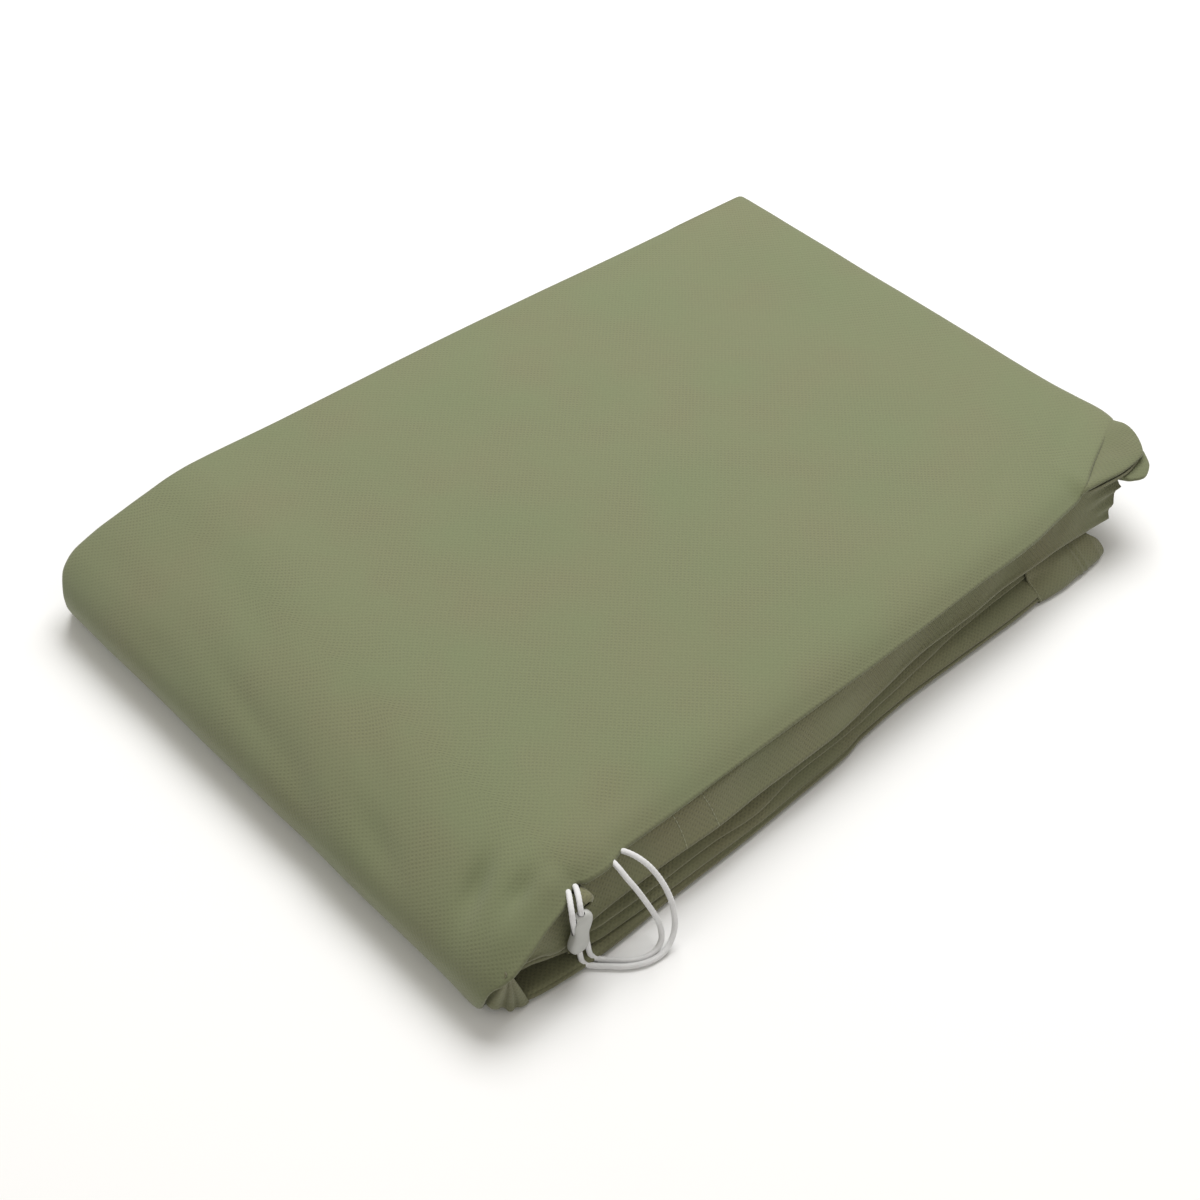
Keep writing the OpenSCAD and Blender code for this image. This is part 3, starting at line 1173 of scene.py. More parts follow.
@dataclass
class BundleFold(FoldedLeaf):
    """The thick fold below the cover: a tall hollow face that flares out to its lip."""

    columns: tuple[int, ...] = (6, 12, 8, 5, 4, 5, 5, 5, 5, 3, 3, 4, 8, 12, 6)
    pucker: float = 1.5
    top_left: float = -144.0

    def rails(self, u: Array) -> list[Array]:
        """Lay out the rails of the tall face.

        Args:
            u: Share of the way from the left end to the right end.

        Returns:
            The rails.
        """
        def ends(left: float, right: float) -> Array:
            """Run x from one end to the other."""
            return left + (right - left) * u

        x = ends(self.near_left, self.near_right)
        near, lip = follow(self.near, x), follow(self.lip, x)
        back = follow(BACK_EDGE, ends(self.top_left, self.right)) - self.back_inset
        bend = follow(((-196, 0.15), (-184, 0.3), (-172, 0.7), (-150, 1)), x)
        back_top = ends(self.top_left, self.right)
        corner = ((-200, 27), (-188, 31.4), (-176, 34.8), (-164, 37), (-152, self.top))
        top = np.minimum(self.top, follow(corner, x))
        height = top - lip
        return [
            rail(back_top, back, self.top),
            rail(back_top, back - 24, self.top),
            rail(back_top, near + 46, self.top),
            rail(ends(-146, 202), near + 26, self.top),
            rail(ends(self.near_left, 204), near + 15 * bend + 1, top),
            rail(ends(self.near_left, 203), near + 8.6 * bend + 0.6, lip + 0.86 * height),
            rail(ends(self.near_left, 200), near + 5.8 * bend + 0.5, lip + 0.6 * height),
            rail(ends(self.near_left, 194), near + 3.6 * bend + 0.4, lip + 0.36 * height),
            rail(ends(self.near_left, 188), near + 1.3 * bend + 0.2, lip + 0.14 * height),
            rail(x, near, lip + 0.7),
            rail(x, near + 0.5, lip - 0.4),
            rail(x, near + 4, (lip + self.under) / 2),
            rail(x, near + 11, self.under),
            rail(ends(self.left, self.right - 6), near + 46, self.under),
            rail(ends(self.left, self.right - 3), back - 26, self.under),
            rail(ends(self.left, self.right - 3), back - 4, self.under)]

    def shape(self, skin: Array) -> Array:
        """Pucker the face towards the open end, where the fold turns the corner.

        Args:
            skin: Points, stations by columns by 3.

        Returns:
            The puckered points.
        """
        lip = follow(self.near, skin[..., 0])
        face = ease((lip + 9 - skin[..., 1]) / 4)
        towards_end = ease((skin[..., 0] - 168) / 34)
        pleat = np.sin(skin[..., 2] * 1.05 + skin[..., 0] * 0.09)
        skin = skin.copy()
        skin[..., 1] -= self.pucker * pleat * face * towards_end
        skin[..., 0] += 1.9 * np.sin(skin[..., 2] * 0.83) * face * ease((skin[..., 0] - 184) / 14)
        for dent in (Dent((121, -139, 33), (7, 9), 1.0), Dent((152, -139, 31), (5, 9), 1.3),
                     Dent((-64, -146, 31), (14, 9), 0.7), Dent((24, -142, 30), (24, 9), 0.7)):
            skin[..., 1] += dent.sink(skin) * face
        return skin


@dataclass
class CoverCloth:
    """The uppermost sheet: it rises from the floor round the spine and runs on as the cover."""

    nodes: tuple[str, ...] = ("spine_wrap", "cover_outer_ply")
    cloth: float = 0.8
    roll: float = 1.2
    hem: float = 14.0
    sag: float = 4.2
    # Lengths from the spine's face to where the lip's own line begins and to the level top
    lip_from: float = 59.0
    level_from: float = 78.0
    # Where the open end bulges most, as y
    bulge_at: float = -104.0
    near: Knots = ((-153, -145.3), (-150.9, -146.1), (-143.2, -146.7), (-133, -143.8), (-110, -143.7),
                   (-80, -143.3), (-50, -142.5), (-20, -142), (11, -141.8), (47, -141.1), (85, -139.5),
                   (104, -139.1), (125, -138.3), (144, -135.8), (161, -133.8), (167, -132.4), (178, -126.7),
                   (191, -120.3), (204, -114), (212, -110.2))
    # Near edge by length along the spine curve, from the foot up to the flat top
    spine_near: Knots = ((0, -141), (6, -141.5), (14, -143), (22, -146.5), (31, -149.8), (38, -151.4),
                         (44, -153.8), (50, -154.6), (57.5, -153.6), (64, -152.8), (70, -151.4),
                         (77, -150.1), (85, -148.2), (90, -145.6), (95, -142.9), (99, -145.6))
    # How far the shoulder has sunk at the back, by x
    back_drop: Knots = ((-212, 0), (-200, 0.4), (-186, 2.2), (-172, 2.9), (-158, 2.3), (-144, 0.8),
                        (-132, 0))
    # The creases by the front corner first, then the faint hollows of the slope and the top
    dents: tuple[Dent, ...] = (
        Dent((-186, -117, 35), (13, 4.8), 4.6, 28), Dent((-176, -132, 40), (9, 4.2), 3.6, 18),
        Dent((-203, -22, 31), (24, 6), 1.7, 68), Dent((-197, 20, 33), (26, 5), 1.5, 80),
        Dent((-120, -126, 44), (20, 8), 1.5, 8), Dent((-199, -70, 30), (20, 6), 2.2, 75),
        Dent((-204, 78, 26), (22, 7), 1.3, 84), Dent((-166, -139, 42), (6, 4), -0.9, 20),
        Dent((-176, -40, 41), (30, 8), 0.9, 62), Dent((-168, 52, 42), (34, 8), 0.8, 74),
        Dent((-193, -142, 33), (7, 5), -1.0, 30), Dent((120, -112, 45), (44, 5), 0.5, 24),
        Dent((60, 40, 45), (70, 40), 0.8, 15), Dent((-60, -40, 45), (60, 40), 0.7, -20),
        Dent((150, 70, 45), (40, 30), 0.6, 30), Dent((184, -104, 45), (26, 5), 0.6, 27))

    def profile(self) -> tuple[Array, Array, Array]:
        """Trace the cloth's outer face from the foot of the spine to the open end.

        Returns:
            The x and z of each station, and the length along the cloth at each.
        """
        low = box_mm("spine_wrap")[0]
        end = box_mm("cover_outer_ply")[1]
        left, top = low[0], end[2]
        knots = [(left + 20, 0.6), (left + 14, 0.4), (left, 0.4), (left, 17), (left, top - 18),
                 (left + 15, top - 11.25), (left + 40, top), (left + self.level_from, top)]
        line = [knots[0]]
        for a, b, c, count in ((1, 2, 3, 14), (3, 4, 5, 14), (5, 6, 7, 22)):
            for t in np.linspace(0, 1, count, endpoint=False):
                line.append(tuple((1 - t) ** 2 * knots[a][k] + 2 * t * (1 - t) * knots[b][k]
                                  + t * t * knots[c][k] for k in range(2)))
        line += [(x, top) for x in np.linspace(left + self.level_from, end[0] - 5, 116)]
        line += [(end[0] - 2.6, top - 0.25), (end[0] - 0.9, top - 1.1), (end[0] - 0.3, top - 2.5)]
        line = np.array(line)
        return line[:, 0], line[:, 1], run_along(line)

    def skin(self) -> Array:
        """Lay out the cloth with a rolled lip along both sides.

        Returns:
            Points, stations by columns by 3.
        """
        x, z, run = self.profile()
        slope_x, slope_z = np.gradient(x), np.gradient(z)
        size = np.hypot(slope_x, slope_z)
        out_x, out_z = -slope_z / size, slope_x / size
        on_top = x > box_mm("spine_wrap")[0][0] + self.lip_from
        near = np.where(on_top, follow(self.near, x), follow(self.spine_near, run))
        far = follow(BACK_EDGE, x)
        crease = ease((x - 160) / 8) * (x > 150)
        roll = self.roll * (1 - 0.45 * crease)
        sag = (self.sag - 3.6 * crease) * ease((run - 20) / 40)
        hem = np.where(on_top, self.hem, 5.0)
        hem = np.where(x > 200, 6.0, hem)

        def line(y: Array, inward: Array | float) -> Array:
            """Run a rail along the spine curve, some way in from the cloth's outer face."""
            depth = inward + self.cloth / 2
            return rail(x - out_x * depth, y, z - out_z * depth)

        rails = [
            line(far - 12, 2 * roll + 0.6), line(far - 2.4, 2 * roll + 0.6),
            line(far - 0.6, 1.7 * roll + 0.5), line(far, roll + 0.3), line(far - 0.8, 0.5 * roll),
            line(far - 3.2, 0.18), line(far - 12, 0),
            line(far - 60, 0), line(near + 70, 0), line(near + 36, 0), line(near + 17, 0.12 * sag),
            line(near + 7, 0.5 * sag), line(near + 1.4, sag + 0.25 * roll),
            line(near + 0.25, sag + 0.7 * roll), line(near, sag + 1.15 * roll),
            line(near + 0.4, sag + 1.6 * roll),
            line(near + 1.8, sag + 1.8 * roll), line(near + 5, 0.95 * sag + 1.75 * roll),
            line(near + hem, 0.4 * sag + 1.8 * roll)]
        skin = loft(rails, [4, 2, 2, 2, 3, 4, 10, 28, 12, 6, 5, 4, 2, 2, 2, 2, 2, 4])
        drop = follow(self.back_drop, skin[..., 0]) * ease((skin[..., 2] - 17) / 12)
        skin[..., 2] -= drop * ease((skin[..., 1] - 10) / 110)
        return skin

    def build(self, wardrobe: Wardrobe) -> bpy.types.Object:
        """Build the cloth and leave it unattached, with its placement baked into its mesh.

        Args:
            wardrobe: The finishes.

        Returns:
            The cloth.
        """
        skin = self.skin()
        flat = cloth_lengths(skin)
        waves = (ripple(flat, (150, 110), 1.1, 3) + ripple(flat, (46, 40), 0.4, 4)
                 + ripple(flat, (15, 13), 0.1, 5))
        spine = ease((-150 - skin[..., 0]) / 30)
        waves = waves + spine * ripple(flat, (30, 58), 0.9, 6)
        near_edge = ease((-118 - skin[..., 1]) / 26)
        waves = waves + near_edge * ripple(flat, (34, 90), 0.7, 8)
        sink = sum(dent.sink(skin) for dent in self.dents)
        foot = ease((flat[..., 0] - 2) / 10)
        out = facing(skin)
        up_side = np.sign((out * np.array([-0.3, 0.0, 1.0])).sum(axis=2).mean())
        side = np.where(np.arange(skin.shape[1]) < 16, 0.4, 1.0)[None]
        skin = skin + out * (up_side * (waves * 0.8 - sink) * foot * side)[..., None]
        low = box_mm("spine_wrap")[0]
        bulge = 1.6 + 3.0 * np.exp(-((skin[..., 1] - self.bulge_at) / 20) ** 2)
        skin[..., 0] += bulge * ease((skin[..., 0] - 180) / 32)
        skin[..., 0] = np.maximum(skin[..., 0], low[0] - 1.5)
        skin[..., 2] = np.maximum(skin[..., 2], self.cloth * 0.6)
        # Painted shade: the drooping near margin and the spine's slope, which turn away from the light, are
        # darkened and browned
        slope = ease((-158 - skin[..., 0]) / 34) * ease(skin[..., 2] / 20)
        piece = thin_solid("cover_cloth", skin, self.cloth, np.maximum(0.55 * near_edge, 0.34 * slope))
        sheet = Sheet(self.nodes, Body.COVER, Slot.OUTER)
        sheet.settle(piece, wardrobe, skin, rides=False)
        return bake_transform(piece)


@dataclass
class CornerTuck:
    """The corner of the cover that is folded in below its crease."""

    cloth: float = 0.8
    crease: tuple[Point, ...] = (
        (163, -133.2, 42.3), (167, -131.2, 42.4), (178, -125.5, 42.5), (191, -119.1, 42.7),
        (204, -112.6, 43.5), (210.5, -110.2, 43.2))
    edge: tuple[Point, ...] = (
        (164, -133.6, 42.5), (176, -134.5, 42.3), (190, -136.3, 42.1), (200.5, -135.9, 42),
        (206.3, -134.7, 42.2), (209.8, -131.4, 42.6), (213.2, -126.2, 43.1), (214.8, -121.6, 43.8),
        (215.6, -116.5, 43.8), (214.6, -111.5, 43.2))
    # The tail below the edge: x, y and z by share of the way along it
    tail_x: Knots = ((0.4, 187), (0.5, 193), (0.6, 199), (0.7, 206.4), (0.79, 211))
    tail_y: Knots = ((0.4, -138), (0.5, -140.8), (0.6, -142.8), (0.7, -139.4), (0.79, -132))
    tail_z: Knots = ((0.4, 39), (0.5, 37.8), (0.6, 37.4), (0.7, 38), (0.79, 39.6))

    def build(self, wardrobe: Wardrobe) -> bpy.types.Object:
        """Build the tucked corner, with the small tail at its tip.

        Args:
            wardrobe: The finishes.

        Returns:
            The corner.
        """
        u = np.linspace(0, 1, 60)
        crease = resample(smooth_path(self.crease, 0.5), u)
        edge = resample(smooth_path(self.edge, 0.5), u)
        inland = crease + np.array([-4, 8.5, 0.1])
        inland += ease((u - 0.7) / 0.3)[:, None] * np.array([-4.0, 0.0, -2.2])
        tail_edge = rail(follow(self.tail_x, u), follow(self.tail_y, u), follow(self.tail_z, u))
        tail = (ease((u - 0.36) / 0.14) * (1 - ease((u - 0.78) / 0.1)))[:, None]
        middle = 0.5 * crease + 0.5 * edge + np.array([0, 0, 0.8])
        rim = edge + np.array([-0.1, 0.25, -0.8])
        under = edge + np.array([-2.4, 5.4, -2.2])
        lower = tail_edge * tail + (under + np.array([-0.6, -2.0, -0.9])) * (1 - tail)
        back = lower + np.array([-3.0, 5.0, -0.9])
        skin = loft([inland, crease, middle, edge, rim, under, lower,
                     lower + np.array([-0.3, 0.8, -0.9]), back], [5, 8, 8, 3, 5, 7, 3, 5])
        flat = cloth_lengths(skin)
        skin = skin + facing(skin) * ripple(flat, (16, 12), 0.45, 31)[..., None]
        skin[..., 2] -= 2.2 * (1 - ease((skin[..., 0] - 160) / 9))
        # The whole tucked corner is darkened as painted shade, since it lies under the cover's crease
        piece = thin_solid("corner_tuck_fold", skin, self.cloth, 0.6)
        return Sheet(("corner_tuck",), Body.COVER, Slot.OUTER).settle(piece, wardrobe, skin)


@dataclass
class ReturnFold:
    """A half-round turn of cloth that joins two leaves at one of their ends."""

    name: str
    node: str
    side: int
    cloth: float = 0.7

    def build(self, wardrobe: Wardrobe) -> bpy.types.Object:
        """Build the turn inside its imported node's box.

        Args:
            wardrobe: The finishes.

        Returns:
            The turn.
        """
        low, high = box_mm(self.node)
        middle_z, radius = (low[2] + high[2]) / 2, (high[2] - low[2]) / 2 - self.cloth
        root = high[0] if self.side < 0 else low[0]
        y = np.linspace(low[1], high[1], 80)
        rails = [rail(root - self.side * 7.0, y, middle_z + radius)]
        for degrees in range(90, -91, -30):
            a = math.radians(degrees)
            sag = 0.5 * np.sin(y * 0.09 + self.side) + 0.4 * np.sin(y * 0.031)
            rails.append(rail(root + self.side * (radius * math.cos(a) + (sag - 0.5) * math.cos(a)), y,
                              middle_z + radius * math.sin(a)))
        rails.append(rail(root - self.side * 7.0, y, middle_z - radius))
        skin = loft(rails, [3] + [3] * 6 + [3])
        if self.side > 0:
            skin = skin[::-1]
        skin = skin + facing(skin) * ripple(cloth_lengths(skin), (22, 8), 0.4, 12)[..., None]
        piece = thin_solid(self.name, skin, self.cloth)
        return Sheet((self.node,)).settle(piece, wardrobe, skin)


@dataclass
class SeamFlap:
    """The short tail of cloth that is sewn on low at the open end, with its seam thread."""

    cloth: float = 0.8
    skin: Array = field(init=False)

    def build(self, wardrobe: Wardrobe) -> list[bpy.types.Object]:
        """Build the flap and the row of stitches that holds it.

        Args:
            wardrobe: The finishes.

        Returns:
            The flap and its thread.
        """
        u = np.linspace(0, 1, 54)

        def line(left: float, right: float, y: Knots, z: float) -> Array:
            """Run a rail from end to end, sinking a little towards the open one."""
            x = left + (right - left) * u
            return rail(x, follow(y, x), z - 0.02 * z * u)

        rails = [
            line(127.6, 168, ((128, -133), (183, -131.5)), 17.2),
            line(127.2, 170.5, ((128, -135.5), (150, -136.4), (184, -136)), 14.6),
            line(127.4, 174.5, ((128, -137.3), (150, -139.8), (170, -139.6), (184, -136.6)), 11.0),
            line(128.2, 176.6, ((128, -140.9), (150, -142.8), (170, -142), (184, -138.6)), 7.4),
            line(129.2, 177.4, ((128, -142.9), (150, -145), (168, -144.2), (184, -141)), 4.0),
            line(130.2, 176.6, ((128, -143.5), (150, -144.9), (167, -144.1), (184, -141.4)), 1.5),
            line(130.4, 174.8, ((128, -142.4), (150, -143.9), (167, -143.2), (184, -140.6)), 0.5),
            line(130.4, 172, ((128, -137.5), (150, -139), (167, -139), (184, -137)), 0.7)]
        skin = loft(rails, [4, 5, 6, 6, 5, 4, 5])
        wrinkle = np.zeros(skin.shape[:2])
        for place, depth in ((157.4, 0.7), (161.2, 0.6), (171.5, 0.5), (174.6, 0.35)):
            centre = place + (skin[..., 2] - 8) * -0.35
            wrinkle += depth * np.exp(-((skin[..., 0] - centre) / 0.9) ** 2)
        inland = np.minimum(ease(u / 0.12), ease((1 - u) / 0.12))[:, None]
        puff = ripple(cloth_lengths(skin), (16, 12), 0.5, 21) * inland
        out = facing(skin)
        out *= -np.sign(out[..., 1:2].mean())
        skin = skin + out * (wrinkle * 0.8 * inland + puff)[..., None]
        skin[..., 2] = np.maximum(skin[..., 2], self.cloth * 0.6)
        self.skin = skin
        flap = thin_solid("seam_tail_flap_cloth", skin, self.cloth)
        Sheet(("seam_tail_flap",)).settle(flap, wardrobe, skin)
        edge = skin[1, 8:30] + out[1, 8:30] * (self.cloth / 2)
        stitches = StitchRow("flap_seam_stitches", ("flap_seam_thread",), pitch=1.9, thread=0.36)
        return [flap, stitches.build(wardrobe, edge)]


@dataclass
class StitchRow:
    """A row of lock stitches: short lengths of thread that dip into the cloth at both ends."""

    name: str
    nodes: tuple[str, ...]
    pitch: float = 3.0
    thread: float = 0.45
    body: Body = Body.STACK

    def parts(self, path: Array) -> list[tuple[Array, list]]:
        """Make the stitches along a path that lies on the cloth.

        Args:
            path: Points on the cloth's face.

        Returns:
            A (corners, faces) pair for each stitch.
        """
        rings, sides = 7, 8
        run = run_along(path)
        out = []
        for start in np.arange(0, run[-1] - self.pitch * 0.8, self.pitch):
            at = start + self.pitch * np.linspace(0.06, 0.9, rings)
            middle = np.stack([np.interp(at, run, path[:, k]) for k in range(3)], axis=1)
            taper = np.sin(np.linspace(0.12, math.pi - 0.12, rings)) ** 0.35
            radius = self.thread / 2 * np.broadcast_to(taper[:, None], (rings, sides))
            points, faces, _ = tube(middle, radius)
            out.append((points, faces.tolist() + end_caps(rings, sides)))
        return out

    def build(self, wardrobe: Wardrobe, *paths: Array) -> bpy.types.Object:
        """Build the row, or several rows as one piece.

        Args:
            wardrobe: The finishes.
            paths: One path on the cloth for each row.

        Returns:
            The stitches.
        """
        parts = [part for path in paths for part in self.parts(path)]
        points, faces = join_parts(parts)
        piece = new_mesh(self.name, points, faces)
        flat = np.stack([points[:, 0] + points[:, 1], points[:, 2]], axis=1)
        corner_uv(piece, flat)
        wardrobe.dress(piece, Slot.THREAD)
        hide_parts(*self.nodes)
        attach(piece, self.body.value)
        log.info("%s: %d stitches", self.name, len(parts))
        return piece


@dataclass
class LowerLeaves:
    """The four leaves below the bundle and the turns that join them."""

    floor_line: Knots = ((-197, -148), (-190, -152.6), (-178, -154.6), (-160, -155.8), (-145, -155.6),
                         (-112, -154), (-74, -153), (-35, -151), (-6, -149), (7, -146.4), (51, -144),
                         (109, -144), (132, -143), (188, -140))
    seam_line: Knots = ((-168, -149.5), (-150, -152.6), (-119, -152.8), (-89, -152.4), (-66, -152),
                        (-34, -150), (-4, -148), (7, -145.9), (51, -143.3), (109, -143.2), (132, -142.2),
                        (190, -139))
    inner_line: Knots = ((-166, -148), (-150, -151), (-119, -151), (-89, -150.4), (-66, -151.6),
                         (-34, -147.2), (-4, -146.2), (24, -143.2), (55, -139.4), (80, -136.6),
                         (121, -135.2), (190, -132))

    def build(self, wardrobe: Wardrobe) -> list[bpy.types.Object]:
        """Build the leaves from the floor up.

        Args:
            wardrobe: The finishes.

        Returns:
            The leaves and the turns.
        """
        made = []
        cloth = 0.7
        rest = cloth * 0.55
        base_low, base_high = box_mm("base_leaf")
        made.append(FoldedLeaf(
            "base_leaf_cloth", Sheet(("base_leaf",)), near=self.floor_line,
            lip=((-197, 2.2), (-150, 2.0), (-100, 1.9), (40, 2.3), (190, 2.2)), top=base_high[2] - 0.7,
            under=rest, left=base_low[0], right=base_high[0], near_left=-196, near_right=174,
            back_inset=3.5, recess=2.2, lip_roll=0.9, seed=2, unevenness=0.35).build(wardrobe))
        low, high = box_mm("seam_leaf")
        made.append(FoldedLeaf(
            "seam_leaf_cloth", Sheet(("seam_leaf",)), near=self.seam_line,
            lip=((-168, 7.6), (-140, 6.6), (-100, 6.2), (-60, 5.4), (0, 4.6), (127, 4.6), (190, 5)),
            top=high[2] - 0.6, under=low[2] + 0.6, left=low[0], right=high[0],
            near_left=-167, near_right=171, recess=6.4, lip_roll=0.6, seed=5).build(wardrobe))
        low, high = box_mm("lower_inner_leaf")
        made.append(FoldedLeaf(
            "lower_inner_leaf_cloth", Sheet(("lower_inner_leaf",)), near=self.inner_line,
            lip=((-166, 13.4), (-120, 12.6), (-60, 12), (60, 12), (121, 12.6), (190, 13.6)),
            top=high[2] - 0.6, under=low[2] + 0.6, left=low[0], right=high[0],
            near_left=-165, near_right=174, recess=7.0, shoulder=1.0, lip_roll=0.6,
            seed=7).build(wardrobe))
        low, high = box_mm("upper_inner_leaf")
        inner_near = tuple((x, y + follow(((-170, 4), (-100, 7), (0, 9), (190, 9)), np.array([x]))[0])
                           for x, y in self.inner_line)
        made.append(FoldedLeaf(
            "upper_inner_leaf_cloth", Sheet(("upper_inner_leaf",)), near=inner_near,
            lip=((-166, 19.2), (-100, 18.6), (0, 18.4), (190, 18.6)), top=high[2] - 0.5,
            under=low[2] + 0.8, left=low[0], right=high[0], near_left=-163,
            near_right=180, recess=2.4, lip_roll=0.9, seed=9).build(wardrobe))
        made.append(ReturnFold("left_return_fold_cloth", "left_return_fold", -1).build(wardrobe))
        made.append(ReturnFold("right_return_fold_cloth", "right_return_fold", 1).build(wardrobe))
        return made


@dataclass
class Bundle:
    """The thick fold under the cover, the three plies inside it and the seam threads on its face."""

    lip_line: Knots = ((-198, -149.5), (-189.5, -150.6), (-180, -150.8), (-172, -150.6), (-160, -150.6),
                       (-150, -150.4), (-119, -150.4), (-87, -151), (-48, -149.4), (-20, -149),
                       (17, -145.2), (55, -140.4), (84, -140), (108, -138.2), (137, -138), (175, -137),
                       (200, -136.4))
    lip_height: Knots = ((-198, 24.6), (-189.5, 22.8), (-184, 21.4), (-180, 19.6), (-176, 16.4),
                         (-171, 14.8), (-164, 16.4), (-154, 19.4), (-140, 20.6), (-119, 21),
                         (-48, 21.4), (60, 21.6), (140, 21), (175, 17.2), (190, 15.6))
    ply_names: tuple[str, ...] = ("lower", "middle", "upper")

    def build(self, wardrobe: Wardrobe) -> list[bpy.types.Object]:
        """Build the fold, the plies and the threads.

        Args:
            wardrobe: The finishes.

        Returns:
            The pieces.
        """
        low, high = box_mm("bundle_fold")
        fold = BundleFold(
            "bundle_fold_cloth", Sheet(("bundle_fold",)), near=self.lip_line, lip=self.lip_height,
            top=high[2] - 0.5, under=low[2] + 0.6, left=low[0] + 8, right=high[0] - 3,
            near_left=-194, near_right=185, seed=11, station=2.2, unevenness=0.45)
        made = [fold.build(wardrobe)]
        for k, name in enumerate(self.ply_names):
            low, high = box_mm(f"bundle_ply_{name}")
            start = max(low[0], fold.top_left)
            near = tuple((x, y + 11 + k) for x, y in self.lip_line if x > -140)
            leaf = FoldedLeaf(
                f"bundle_ply_{name}_cloth", Sheet((f"bundle_ply_{name}",)), near=near,
                lip=((-150, (low[2] + high[2]) / 2), (200, (low[2] + high[2]) / 2)),
                top=high[2] - 0.5, under=low[2] + 0.5, left=start, right=high[0],
                near_left=start + (26 if name == "upper" else 0), near_right=high[0] - 6,
                recess=1.5, lip_roll=0.7, station=4, seed=13 + k, unevenness=0.3)
            made.append(leaf.build(wardrobe))
        made.append(self.threads(wardrobe, fold))
        return made

    def threads(self, wardrobe: Wardrobe, fold: BundleFold) -> bpy.types.Object:
        """Run the two seam threads down the fold's face.

        Args:
            wardrobe: The finishes.
            fold: The fold that they lie on.

        Returns:
            The threads.
        """
        skin, out = fold.skin, facing(fold.skin)
        out *= -np.sign(out[..., 1:2])
        face = range(32, 56)
        paths = []
        for start_x, end_x in ((-105, -103.4), (-89, -85.6)):
            path = []
            for step, column in enumerate(face):
                share = step / (len(face) - 1)
                want = start_x + (end_x - start_x) * share + 1.5 * math.sin(share * math.pi)
                row = int(np.argmin(np.abs(skin[:, column, 0] - want)))
                path.append(skin[row, column] * np.array([0, 1, 1]) + np.array([want, 0, 0])
                            + out[row, column] * (fold.cloth / 2 + 0.05))
            paths.append(np.array(path))
        row = StitchRow("side_seam_stitches", ("side_seam_thread",), pitch=2.4, thread=0.5)
        return row.build(wardrobe, *paths)


@dataclass
class FrontCorner:
    """What fills the corner between the spine and the stack: a curled flap and a fan of pleats."""

    cloth: float = 0.7
    apex: Point = (-199.8, -152.6, 27.4)
    pleat_count: float = 3.2

    def build(self, wardrobe: Wardrobe) -> list[bpy.types.Object]:
        """Build the flap and the pleats.

        Args:
            wardrobe: The finishes.

        Returns:
            The two pieces.
        """
        return [self.flap(wardrobe), self.pleats(wardrobe)]

    def flap(self, wardrobe: Wardrobe) -> bpy.types.Object:
        """Build the small flap that curls out of the corner.

        Args:
            wardrobe: The finishes.

        Returns:
            The flap.
        """
        u = np.linspace(0, 1, 26)
        x = -198 + 32 * u
        rise = follow(((-198, 15), (-188, 17), (-178, 14), (-166, 8)), x)
        edge_y = follow(((-198, -146), (-188, -148.4), (-178, -149.4), (-166, -148.8)), x)
        rails = [rail(x, edge_y + 20, rise + 3), rail(x, edge_y + 8, rise + 3.2),
                 rail(x, edge_y + 2, rise + 2), rail(x, edge_y, rise), rail(x, edge_y + 0.8, rise - 1.1),
                 rail(x, edge_y + 4, rise - 1.7), rail(x, edge_y + 12, rise - 1.6)]
        skin = loft(rails, [4, 4, 3, 3, 3, 4])
        skin = skin + facing(skin) * ripple(cloth_lengths(skin), (13, 9), 0.8, 51)[..., None]
        piece = thin_solid("front_corner_flap_cloth", skin, self.cloth)
        return Sheet(("front_corner_flap",)).settle(piece, wardrobe, skin)

    def pleats(self, wardrobe: Wardrobe) -> bpy.types.Object:
        """Build the fan of pleats that closes the end of the spine roll.

        Args:
            wardrobe: The finishes.

        Returns:
            The fan.
        """
        share = np.linspace(0, 1, 96)
        turn = share + 0.05 * np.sin(share * 9.0)
        fold = np.cos(turn * self.pleat_count * 2 * math.pi) * (0.75 + 0.45 * np.sin(share * 5.3 + 0.6))
        fold = np.sign(fold) * np.abs(fold) ** 0.75
        foot = rail(follow(((0, -209), (0.22, -206), (0.45, -202), (0.7, -197.5), (1, -190.5)), share),
                    follow(((0, -145.2), (0.22, -147.2), (0.45, -149.4), (0.7, -151.8), (1, -153)), share),
                    follow(((0, 14.5), (0.22, 8.6), (0.45, 3.6), (0.7, 1.3), (1, 0.8)), share))
        foot += fold[:, None] * np.array([-0.9, -1.1, 0.15])
        apex = np.array(self.apex)
        spread = np.linspace(-1, 1, len(foot))[:, None] * np.array([1.2, 0.2, -1.0])
        inner = apex + spread + np.array([1.0, 5.5, -0.8])
        top = apex + spread
        rails = [inner, top]
        for down in (0.25, 0.5, 0.75):
            bulge = np.array([0, -0.7, 0]) * math.sin(down * math.pi)
            rails.append(top * (1 - down) + foot * down + bulge)
        rails.append(foot)
        rails.append(foot + np.array([1.5, 5.0, 0.2]))
        skin = loft(rails, [4, 5, 5, 5, 5, 4])
        skin[..., 2] = np.maximum(skin[..., 2], self.cloth * 0.6)
        piece = thin_solid("front_corner_pleats_cloth", skin, self.cloth)
        return Sheet(("front_corner_pleats",)).settle(piece, wardrobe, skin)


# ---------------------------------------------------------------------------------------------
# Casing, drawcord and lock


